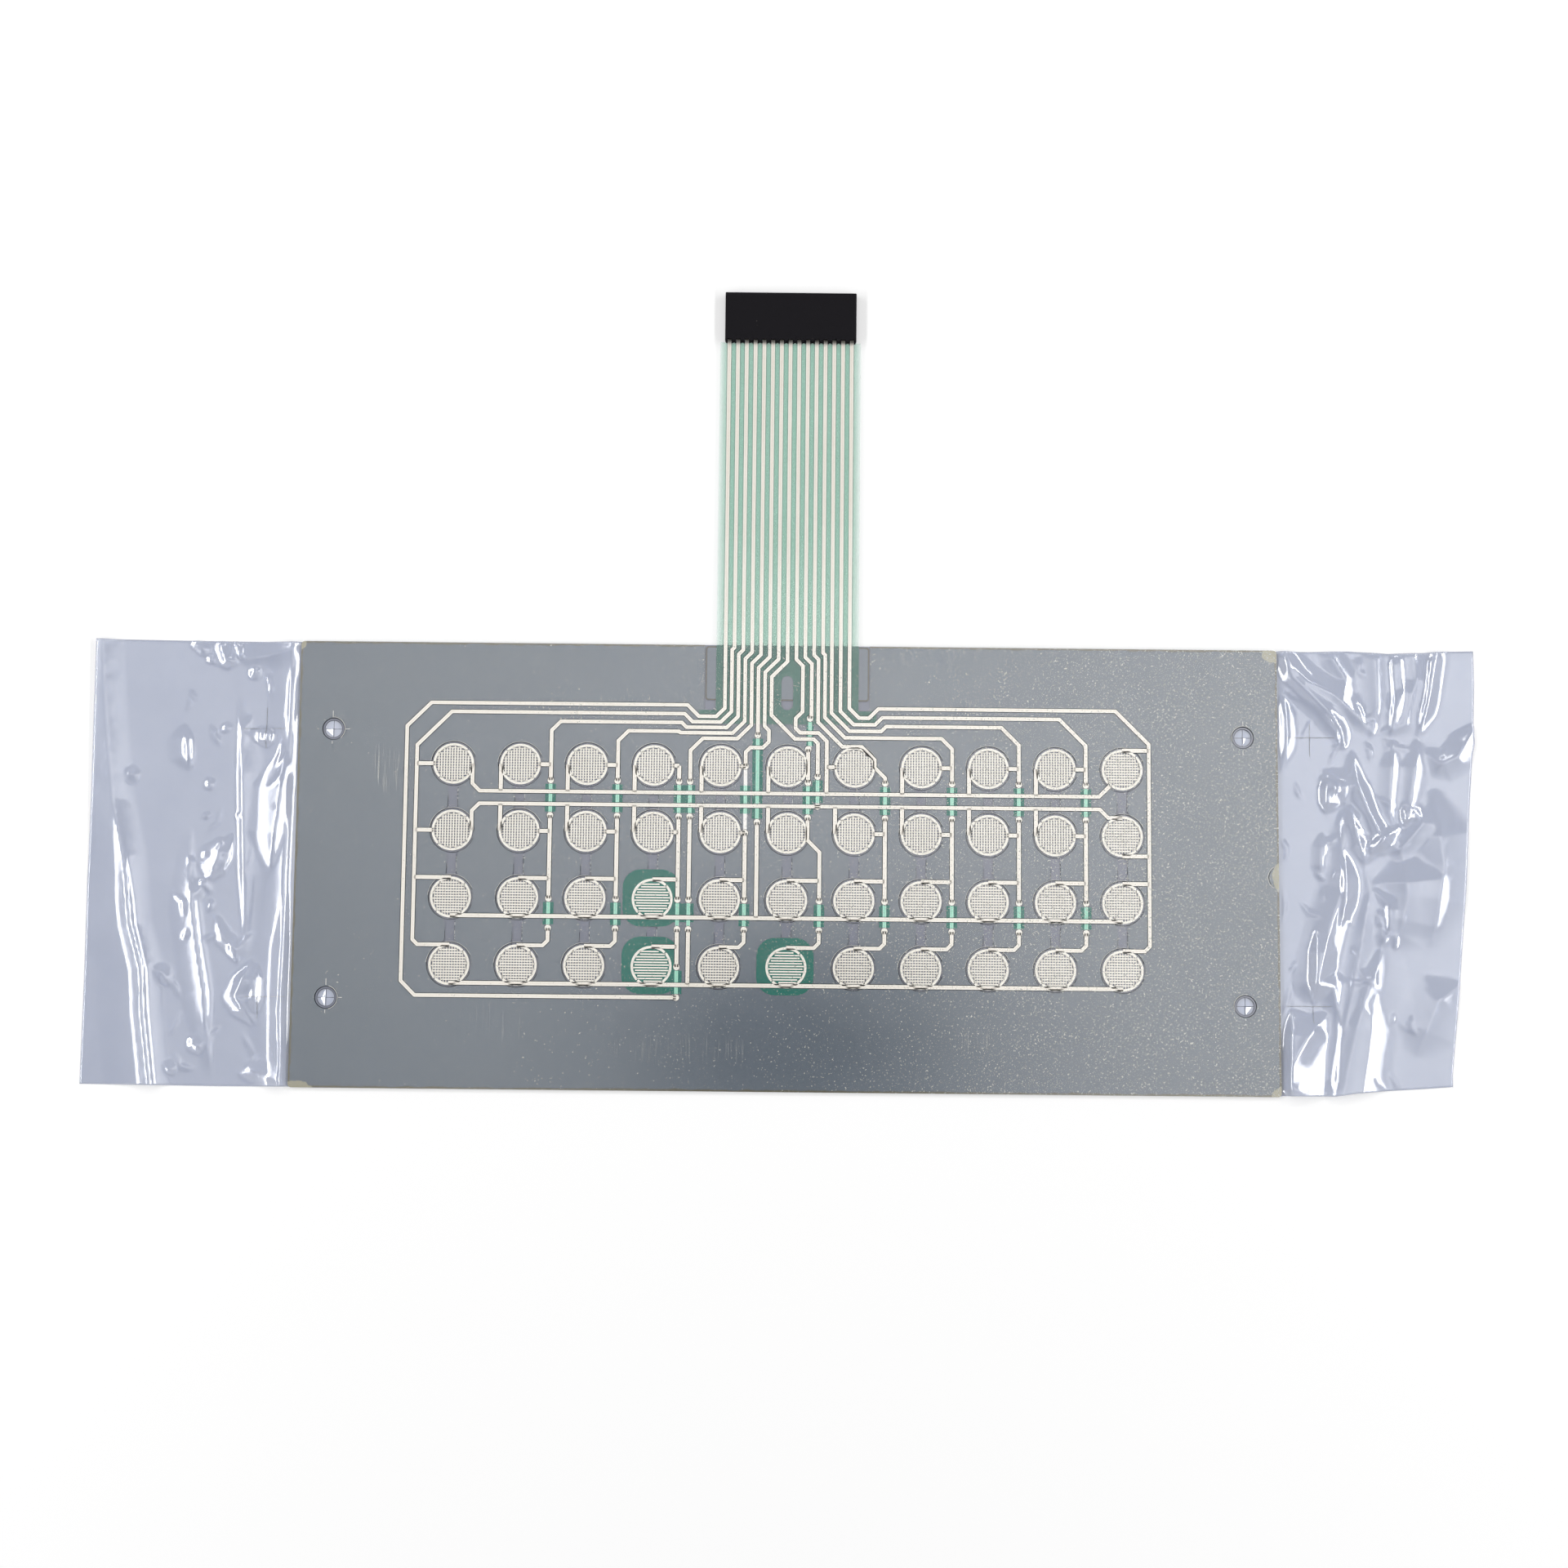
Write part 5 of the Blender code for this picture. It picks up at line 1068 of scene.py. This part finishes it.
# Centre line of each net's feed, from the receptacle to the key grid
COLUMN_FEEDS = {
    1: [(-15.64, 158.7), (-15.64, 62.8), (-16.28, 62.16), (-16.28, 44.27), (-19.28, 41.27), (-27.33, 41.27),
        (-29.6, 43.54), (-96.05, 43.54), (-105.75, 33.84), (-105.75, -21.58), (-104.35, -22.98),
        (-95.25, -22.98)],
    2: [(-13.1, 158.7), (-13.1, 62.15), (-14.37, 60.88), (-14.37, 42.88), (-17.57, 39.68), (-29.08, 39.68),
        (-30.39, 41.0), (-64.9, 41.0), (-67.5, 38.4), (-67.5, 24.05)],
    3: [(-10.56, 158.7), (-10.56, 61.5), (-12.47, 59.59), (-12.47, 41.49), (-15.87, 38.09), (-30.83, 38.09),
        (-31.19, 38.46), (-45.55, 38.46), (-48.45, 35.56), (-48.45, 24.05)],
    4: [(-18.18, 158.7), (-18.18, 45.26), (-20.58, 42.86), (-25.58, 42.86), (-28.8, 46.08), (-101.95, 46.08),
        (-108.75, 39.28), (-108.75, -33.27), (-104.75, -37.28), (-30.95, -37.28)],
    5: [(-2.94, 158.7), (-2.94, 59.55), (-6.75, 55.74), (-6.75, 40.18), (-5.5, 38.93), (-5.5, 35.68),
        (-7.2, 33.98), (-10.75, 33.98), (-12.05, 32.68), (-12.05, 28.58)],
    6: [(4.68, 158.7), (4.68, 60.2), (6.59, 58.3), (6.59, 43.38), (6.2, 42.99), (6.2, 42.48)],
    7: [(7.22, 158.7), (7.22, 60.85), (8.49, 59.58), (8.49, 41.48), (15.49, 34.48), (21.05, 34.48),
        (24.75, 30.78), (24.75, 28.58), (27.75, 25.58), (27.75, 24.05)],
    8: [(9.76, 158.7), (9.76, 61.5), (10.4, 60.87), (10.4, 42.86), (16.2, 37.06), (43.8, 37.06),
        (46.8, 34.06), (46.8, 24.05)],
    9: [(12.3, 158.7), (12.3, 44.17), (17.5, 38.97), (26.53, 38.97), (27.96, 40.4), (60.85, 40.4),
        (65.85, 35.4), (65.85, 24.05)],
    10: [(14.84, 158.7), (14.84, 44.67), (18.64, 40.87), (24.78, 40.87), (26.84, 42.94), (77.4, 42.94),
         (84.9, 35.44), (84.9, 24.05)],
    11: [(17.38, 158.7), (17.38, 45.58), (20.18, 42.78), (23.03, 42.78), (25.73, 45.48), (93.4, 45.48),
         (102.9, 35.98), (102.9, -21.58), (101.5, -22.98), (95.25, -22.98)],
}
ROW_FEEDS = {
    1: [(2.14, 158.7), (2.14, 59.55), (4.04, 57.65), (4.04, 44.45), (2.1, 42.51), (2.1, 39.68), (3.4, 38.38),
        (8.65, 38.38), (11.05, 35.98), (11.05, 20.85)],
    2: [(-0.4, 158.7), (-0.4, 58.9), (-4.85, 54.45), (-4.85, 43.38), (1.95, 36.58), (7.3, 36.58), (8.5, 35.38),
        (8.5, 25.78)],
    3: [(-5.48, 158.7), (-5.48, 60.2), (-8.66, 57.03), (-8.66, 37.58)],
    4: [(-8.02, 158.7), (-8.02, 60.85), (-10.56, 58.31), (-10.56, 40.41), (-14.46, 36.51), (-24.3, 36.51),
        (-27.8, 33.01), (-27.8, 24.05)],
}
ROW_ENDS = {
    1: [(-89.8, 28.58), (-89.8, 22.95), (-87.7, 20.85), (88.65, 20.85), (92.05, 24.25)],
    2: [(-89.8, 9.53), (-89.8, 15.15), (-87.7, 17.25), (88.85, 17.25), (91.25, 14.85), (95.25, 14.85)],
    3: [(-95.25, -14.66), (95.25, -14.66)],
    4: [(-95.25, -33.71), (95.25, -33.71)],
}
ROW_EXTRAS = {
    1: [[(11.05, 28.58), (13.8, 28.58)]],
    2: [],
    3: [[(-8.66, 12.62), (-8.66, -14.66)]],
    4: [[(-27.8, 14.05), (-27.8, -9.66)], [(-27.8, -18.0), (-27.8, -33.71)]],
}
ROW_VIAS = {
    1: [], 2: [(8.5, 25.78), (8.5, 17.25)], 3: [(-8.66, 37.58), (-8.66, 12.62)],
    4: [(-27.8, y) for y in (24.05, 14.05, -9.66, -18.0)],
}
# Jumpers: X, lower and upper end, and how far the dielectric over it reaches
JUMPERS = [(-30.95, -37.28, -28.71), (6.2, 33.68, 42.48), (8.5, 17.25, 25.78), (-8.66, 12.62, 37.58),
           (-27.8, SECOND, TOP), (-27.8, FOURTH, THIRD)]


def line_x(column):
    return LINES.get(column, key_x(column) + LINE_ASIDE)


def column_paths(column):
    """Centre lines and via places of a column's net, without its combs."""
    x, key = line_x(column), key_x(column)
    low = LOWER_LINE_6 if column == 6 else x
    paths = [COLUMN_FEEDS[column]]
    if column == 1:
        paths += [[(x, key_y(r)), (key - SEAT, key_y(r))] for r in (1, 2)]
        paths.append([(x, key_y(3) + STUB), (key, key_y(3) + STUB)])
        return paths, []
    if column == 11:
        paths += [[(x, y), (key, y)] for y in (key_y(1) + STUB, key_y(2) - STUB, key_y(3) + STUB)]
        return paths, []
    vias = [(x, TOP), (x, SECOND), (low, THIRD), (low, FOURTH)]
    if column == 5:
        vias[:2] = [(x, key_y(1)), (x, key_y(2))]
    upper = key_y(2) if column == 5 else SECOND
    if column == 6:
        paths.append([(x, SECOND), (x, 7.63), (low, 4.18), (low, THIRD)])
        paths.append([(x, 33.68), (x, TOP)])
        vias += [(6.2, 42.48), (x, 33.68)]
    else:
        paths.append([(x, upper), (x, THIRD)])
        paths.append([(x, key_y(2)), (key + SEAT, key_y(2))])
        if column != 7:
            paths.append([(x, key_y(1)), (key + SEAT, key_y(1))])
    paths.append([(low, key_y(3) + STUB), (key, key_y(3) + STUB)])
    last = key_y(4) + STUB
    if column == 4:
        paths += [[(x, FOURTH), (x, -28.71)], [(x, last), (key, last)], [(x, key_y(1)), (x, TOP)]]
        vias += [(x, -28.71), (x, -37.28)]
    else:
        paths.append([(low, FOURTH), (low, last + CORNER), (low - CORNER, last), (key, last)])
    return paths, vias


def row_paths(row):
    """Centre lines and via places of a row's net, without its combs."""
    paths = [ROW_FEEDS[row], ROW_ENDS[row]] + ROW_EXTRAS[row]
    for column in range(2, 11):
        if row <= 2 and (row, column) != (1, 7):
            x = key_x(column) - ROW_ASIDE
            paths.append([(x, key_y(row)), (x, ROW_LINES[row])])
    return paths, ROW_VIAS[row]


# Tree that prints traces along paths, a dot at each via, and, as separate bands, the
# painted shadow line below and the painted shade core on top
trace_tree = bpy.data.node_groups.new("printed_traces", "GeometryNodeTree")
put = named_inputs(trace_tree, Band_Width=TRACE_WIDTH * MM, Via_Radius=VIA_RADIUS * MM, Low=TRACE_LOW * MM,
                   High=TRACE_HIGH * MM, Ink=None)
thick, level = thickness_and_middle(trace_tree, put["Low"], put["High"])
curves = add_node(trace_tree, "GeometryNodeMeshToCurve", {0: put["Geometry"]})
bands = band(trace_tree, curves, put["Band Width"], thick)
is_via = add_node(trace_tree, "GeometryNodeInputNamedAttribute", {"Name": "via"}, data_type="BOOLEAN")
dot = add_node(trace_tree, "GeometryNodeMeshCylinder", {"Vertices": 28, "Radius": put["Via Radius"],
                                                        "Depth": thick})
dots = on_points(trace_tree, put["Geometry"], dot, Selection=is_via)
both = add_node(trace_tree, "GeometryNodeJoinGeometry", {0: bands})
feed(both, 0, dots)
raised = raised_to(trace_tree, both, level)
end_tree(trace_tree, raised, put["Ink"])


def path_mesh(paths, vias):
    """Mesh of bare edges along the paths, and a marked bare point at each via."""
    spots, edges = [], []
    for path in paths:
        edges += [(len(spots) + i, len(spots) + i + 1) for i in range(len(path) - 1)]
        spots += path
    spots += vias
    mesh = bpy.data.meshes.new("paths")
    mesh.from_pydata([(x * MM, y * MM, 0.0) for x, y in spots], edges, [])
    mark = mesh.attributes.new("via", "BOOLEAN", "POINT")
    for i in range(len(vias)):
        mark.data[len(spots) - 1 - i].value = True
    return mesh


def bar(bm, x, low, high, width, z_low, z_high, slot=0):
    add_plate(bm, [rectangle(x - width / 2, low, x + width / 2, high)], [], z_low, z_high, slot)


# Screened silver: cream, matte, with the weave of the screen in it, and a duller, pinker
# copy for the band of painted shade down the middle of each trace
INK_SCALES = (3200.0, 60.0)
silver_edge = screened_ink("silver_ink_screened_edge", "#f3eee3", "#fbf7ee", 0.42, INK_SCALES, 2.0)
silver_core = screened_ink("silver_ink_screened_core", "#e8dfd3", "#f2eadf", 0.42, INK_SCALES, 2.0)
silver_bare = screened_ink("silver_ink_bare_jumper", "#f0eeea", "#f8f6f3", 0.42, INK_SCALES, 2.0)

nets = [(f"column_net_{c:02d}", *column_paths(c), [(c, r) for r in range(1, 5)], 0) for c in range(1, 12)]
nets += [(f"row_net_{r}", *row_paths(r), [(c, r) for c in range(1, 12)], 2) for r in range(1, 5)]
own_jumpers = {f"column_net_{c:02d}": [(line_x(c), SECOND, TOP),
                                       (LOWER_LINE_6 if c == 6 else line_x(c), FOURTH, THIRD)]
               for c in range(2, 11)}
own_jumpers["column_net_05"][0] = (line_x(5), key_y(2), key_y(1))
own_jumpers["column_net_04"].append(JUMPERS[0])
own_jumpers["column_net_06"].append(JUMPERS[1])
own_jumpers.update({"row_net_2": [JUMPERS[2]], "row_net_3": [JUMPERS[3]], "row_net_4": JUMPERS[4:]})
for name, paths, vias, keys, half_turn in nets:
    bm = bmesh.new()
    # Each trace: a painted shadow band below it, the ink, a painted shade core on top, and the combs
    parts = [
        (grown(trace_tree, path_mesh(paths, vias), Band_Width=SHADOW_WIDTH * MM,
               Via_Radius=(VIA_RADIUS + VIA_RIM) * MM, Low=SHADOW_LEVELS[0] * MM, High=SHADOW_LEVELS[1] * MM,
               Ink=painted_shadow_line), 2),
        (grown(trace_tree, path_mesh(paths, vias), Ink=silver_edge), 0),
        (grown(trace_tree, path_mesh(paths, []), Band_Width=CORE_WIDTH * MM, Low=TRACE_LOW * MM,
               High=(TRACE_HIGH + CORE_RISE) * MM, Ink=silver_core), 1),
        (grown(key_tree, key_points(keys, half_turn), High=TRACE_HIGH * MM, Ink=silver_edge), 0),
    ]
    for part, slot in parts:
        for polygon in part.polygons:
            polygon.material_index = slot
        bm.from_mesh(part)
    bmesh.ops.scale(bm, vec=(1 / MM, 1 / MM, 1 / MM), verts=bm.verts)
    for x, low, high in own_jumpers.get(name, []):
        bar(bm, x, low, high, JUMPER_WIDTH, *JUMPER_LEVELS, 3)
        for end in (low, high):
            bar(bm, x, end - POST / 2, end + POST / 2, POST, JUMPER_LEVELS[0], TRACE_LOW + POST_RISE, 3)
    bmesh.ops.recalc_face_normals(bm, faces=bm.faces)
    net = piece_from(bm, name + "_print", silver_edge, silver_core, painted_shadow_line, silver_bare)
    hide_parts(name)

# ---------------------------------------------------------------- dielectric print
# Green insulating ink between the two silver passes, about 0.03 mm thick. It is a clear
# green glaze: dark over the grey adhesive, and mint over silver or white paper.
DIELECTRIC_LEVELS = (0.930, 0.960)
GLAZE_LEVELS = (0.931, 0.9612)
GLAZE_CORE = 0.30
GLAZE_CORE_LEVELS = (0.932, 0.9616)
SHIELDS = ((4, 3), (4, 4), (6, 4))
COAT_FOOT = 40.76
TAIL_INK_EDGE = (0.0178, 0.0203)
TAIL_INK_ALPHA = (0.34, 0.10)
SHIELD_HALF = 8.1
SHIELD_ROUND = 5.2
COAT_X = (-25.58, 25.13)
TAIL_X = (-20.8, 20.0)
HOUSING_FOOT = 152.7
VENT = (-2.1, 44.86, 1.3, 54.76)

# Name, tones, opacity and gloss of the green over each thing below it
green_dark, green_mint, green_mint_painted_shade_core, green_tail, green_coat = (
    screened_ink("dielectric_ink_over_" + name, low, high, 0.34, (2100.0, 90.0), 3.0, Alpha=alpha,
                 Coat_Weight=gloss)
    for name, low, high, alpha, gloss in (("adhesive", "#056c60", "#0c7669", 0.82, 0.6),
                                          ("silver", "#92d6bd", "#a8e4cd", 1.0, 1.0),
                                          ("silver_core", "#80c9ae", "#92d3bb", 1.0, 1.0),
                                          ("paper", "#88d8ba", "#98e2c8", 0.34, 1.0),
                                          ("spacer_edge", "#47756b", "#548075", 0.8, 0.6)))

# Past the outermost traces the ink on the tail thins out to nearly clear film
tree = green_tail.node_tree
shader = next(node for node in tree.nodes if node.type == "BSDF_PRINCIPLED")
axes = split(tree, add_node(tree, "ShaderNodeTexCoord").outputs["Object"])
from_middle = calc(tree, "ABSOLUTE", calc(tree, "ADD", axes[0], -0.5 * (TAIL_X[0] + TAIL_X[1]) * MM))
feed(shader, "Alpha", ramp(tree, from_middle, *TAIL_INK_EDGE, *TAIL_INK_ALPHA))

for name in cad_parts:
    if name.startswith("dielectric"):
        dress(name, green_dark)

shield_patches = {
    "dielectric_row_3_column_04": [rectangle(-32.45, FOURTH + 2.0, -26.3, THIRD - 1.0)],
    "dielectric_row_4_column_04": [rectangle(-32.45, -36.28, -29.45, -29.71)],
    "dielectric_key_column_06_row_4": [],
}
for (column, row), (name, patches) in zip(SHIELDS, shield_patches.items()):
    x, y = key_x(column) - 0.3, key_y(row) + 0.3
    field = rounded(x - SHIELD_HALF, y - SHIELD_HALF, x + SHIELD_HALF, y + SHIELD_HALF, SHIELD_ROUND, 16)
    bm = bmesh.new()
    add_plate(bm, [field] + patches, [], *DIELECTRIC_LEVELS)
    shield = piece_from(bm, name + "_glaze", green_dark)
    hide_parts(name)

bm = bmesh.new()
vent = rounded(*VENT, 1.69, 10)
add_plate(bm, [rectangle(TAIL_X[0], COAT_FOOT, TAIL_X[1], PANEL_HALF_Y),
               rectangle(COAT_X[0], COAT_FOOT, COAT_X[1], 44.7)], [vent], *DIELECTRIC_LEVELS)
add_plate(bm, [rectangle(TAIL_X[0] + 0.02, PANEL_HALF_Y, TAIL_X[1] - 0.02, HOUSING_FOOT - 0.12)], [],
          *DIELECTRIC_LEVELS, 1)
coat = piece_from(bm, "dielectric_tail_glaze", green_coat, green_tail)
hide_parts("dielectric_tail_coat")

bm = bmesh.new()
for x, low, high in [j for group in own_jumpers.values() for j in group]:
    low, high = (15.05, 23.05) if x == line_x(5) and low > 0 else (low + 1.0, high - 1.0)
    bar(bm, x, low, high, JUMPER_WIDTH, *GLAZE_LEVELS)
    # Down the middle of each jumper's glaze, a darker band of painted shade, as on the traces
    bar(bm, x, low, high, GLAZE_CORE, *GLAZE_CORE_LEVELS, 1)
glaze = piece_from(bm, "dielectric_over_jumpers", green_mint, green_mint_painted_shade_core)

# ---------------------------------------------------------------- clear circuit film
# Clear polyester, 0.18 mm, with a hard gloss. The tail is cut in one piece with it. Tiny
# air bubbles show in the adhesive below it, more of them to the right, and a few scuffs.
CIRCUIT_LEVELS = (1.03, 1.21)
TONGUE_X = (-18.95, 18.15)
RELIEF = 3.2
RELIEF_Y = (44.86, 68.0)
TAIL_END = 152.58
TONGUE_Y = (151.5, 158.9)
CLEAR_ALPHA = 0.02
SCUFFS = (((-114.5, 27.0), (5.5, 9.0), -0.16, 0.30), ((54.0, -49.0), (9.0, 4.0), -0.85, 0.16),
          ((-30.0, -52.0), (26.0, 5.0), 0.0, 0.10), ((-85.0, -45.0), (16.0, 8.0), 0.5, 0.10))

clear_film, tree, shader, place = new_material("polyester_film_clear_gloss", "#d3d4cd", 0.10, Alpha=0.05,
                                               IOR=1.64)
axes = split(tree, place)
field = noise(tree, place, 1250.0, 1.0, 0.5)
ridge = calc(tree, "ABSOLUTE", calc(tree, "SUBTRACT", field, 0.5))
hairs = ramp(tree, ridge, 0.036, 0.088, 1.0, 0.0)
breaks = noise(tree, place, 1900.0, 1.0)
cluster = noise(tree, place, 38.0, 3.0)
rightward = ramp(tree, axes[0], -0.14, 0.14, 0.8, 0.672)
threshold = calc(tree, "MULTIPLY_ADD", cluster, -0.16, rightward)
excess = calc(tree, "SUBTRACT", breaks, threshold)
kept = ramp(tree, excess, 0.0, 0.05, 0.0, 0.58)
scratches = calc(tree, "MULTIPLY", hairs, kept)
for spot, reach, turn, strength in SCUFFS:
    slant = add_node(tree, "ShaderNodeMapping", {"Vector": place, "Rotation": (0.0, 0.0, turn),
                                                 "Scale": (2300.0, 70.0, 70.0)})
    hair = noise(tree, slant, 1.0, 2.0)
    away = distance_from(tree, place, spot, reach)
    inside = ramp(tree, away, 0.5, 1.0, strength, 0.0)
    scuff = calc(tree, "MULTIPLY", ramp(tree, hair, 0.55, 0.7), inside)
    scratches = calc(tree, "ADD", scratches, scuff)
on_panel = calc(tree, "LESS_THAN", axes[1], PANEL_HALF_Y * MM)
marks = calc(tree, "MULTIPLY", scratches, on_panel)
feed(shader, "Alpha", calc(tree, "ADD", marks, CLEAR_ALPHA))

slots = [rounded(x, RELIEF_Y[0], x + RELIEF, RELIEF_Y[1], 1.56, 10) for x in (TAIL_X[0] - RELIEF, TAIL_X[1])]
bm = bmesh.new()
add_plate(bm, [PANEL, rectangle(TAIL_X[0], PANEL_HALF_Y - 1, TAIL_X[1], TAIL_END),
               rectangle(TONGUE_X[0], TONGUE_Y[0], TONGUE_X[1], TONGUE_Y[1])],
          [circle(x, y, WIDE_HOLE) for x, y in HOLES] + slots + [vent], *CIRCUIT_LEVELS)
circuit = piece_from(bm, "circuit_sheet", clear_film)
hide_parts("circuit_film")

# ---------------------------------------------------------------- receptacle and contacts
# Black glass-filled nylon housing, moulded, pushed over fifteen contacts that are crimped
# through the film. A short rib stands on each side of every trace at its lower edge.
HOUSING = (-19.45, 152.7, 18.65, 167.1)
RIB = (0.42, 0.62, 0.9)
RIB_FOOT = 1.66
RIB_ASIDE = 0.78
RIB_INSIDE = 0.2
FIRST_WAY = -18.18
PITCH = 2.54
WAYS = 15

nylon, tree, shader, place = new_material("nylon_glass_filled_black", "#0d0c0f", 0.55, Specular_IOR_Level=0.05)
fibre = noise(tree, place, 2400.0, 4.0)
tone = tint(tree, fibre, "#0b0a0d", "#121114")
speck = add_node(tree, "ShaderNodeTexVoronoi", {"Vector": place, "Scale": 260.0})
dust = ramp(tree, speck, 0.035, 0.05, 0.5, 0.0)
dusty = tint(tree, dust, tone, "#55504a")
feed(shader, "Base Color", dusty)
feed(shader, "Normal", bump(tree, fibre, 0.3, 0.00005))
dress("connector_housing", nylon)

# Tree that stands a small block on every point, for the ribs
rib_tree = bpy.data.node_groups.new("ribs_on_housing", "GeometryNodeTree")
put = named_inputs(rib_tree, Rib_Width=RIB[0] * MM, Rib_Length=RIB[1] * MM, Rib_Height=RIB[2] * MM,
                   Finish=nylon)
size = xyz(rib_tree, put["Rib Width"], put["Rib Length"], put["Rib Height"])
block = add_node(rib_tree, "GeometryNodeMeshCube", {"Size": size})
placed = on_points(rib_tree, put["Geometry"], block)
end_tree(rib_tree, placed, put["Finish"])
ribs = bare_points([(FIRST_WAY + PITCH * way + side * RIB_ASIDE, HOUSING[1] - RIB_INSIDE)
                    for way in range(WAYS) for side in (-1, 1)], RIB_FOOT)
finished(grown(rib_tree, ribs), "housing_ribs")

tinned, tree, shader, place = new_material("bronze_tin_plated", "#c9c6c0", 0.28, Metallic=1.0)
draw = add_node(tree, "ShaderNodeMapping", {"Vector": place, "Scale": (4000.0, 300.0, 4000.0)})
lay = noise(tree, draw, 1.0, 3.0)
feed(shader, "Roughness", ramp(tree, lay, 0.0, 1.0, 0.2, 0.42))
for way in range(1, WAYS + 1):
    dress(f"contact_{way:02d}", tinned)
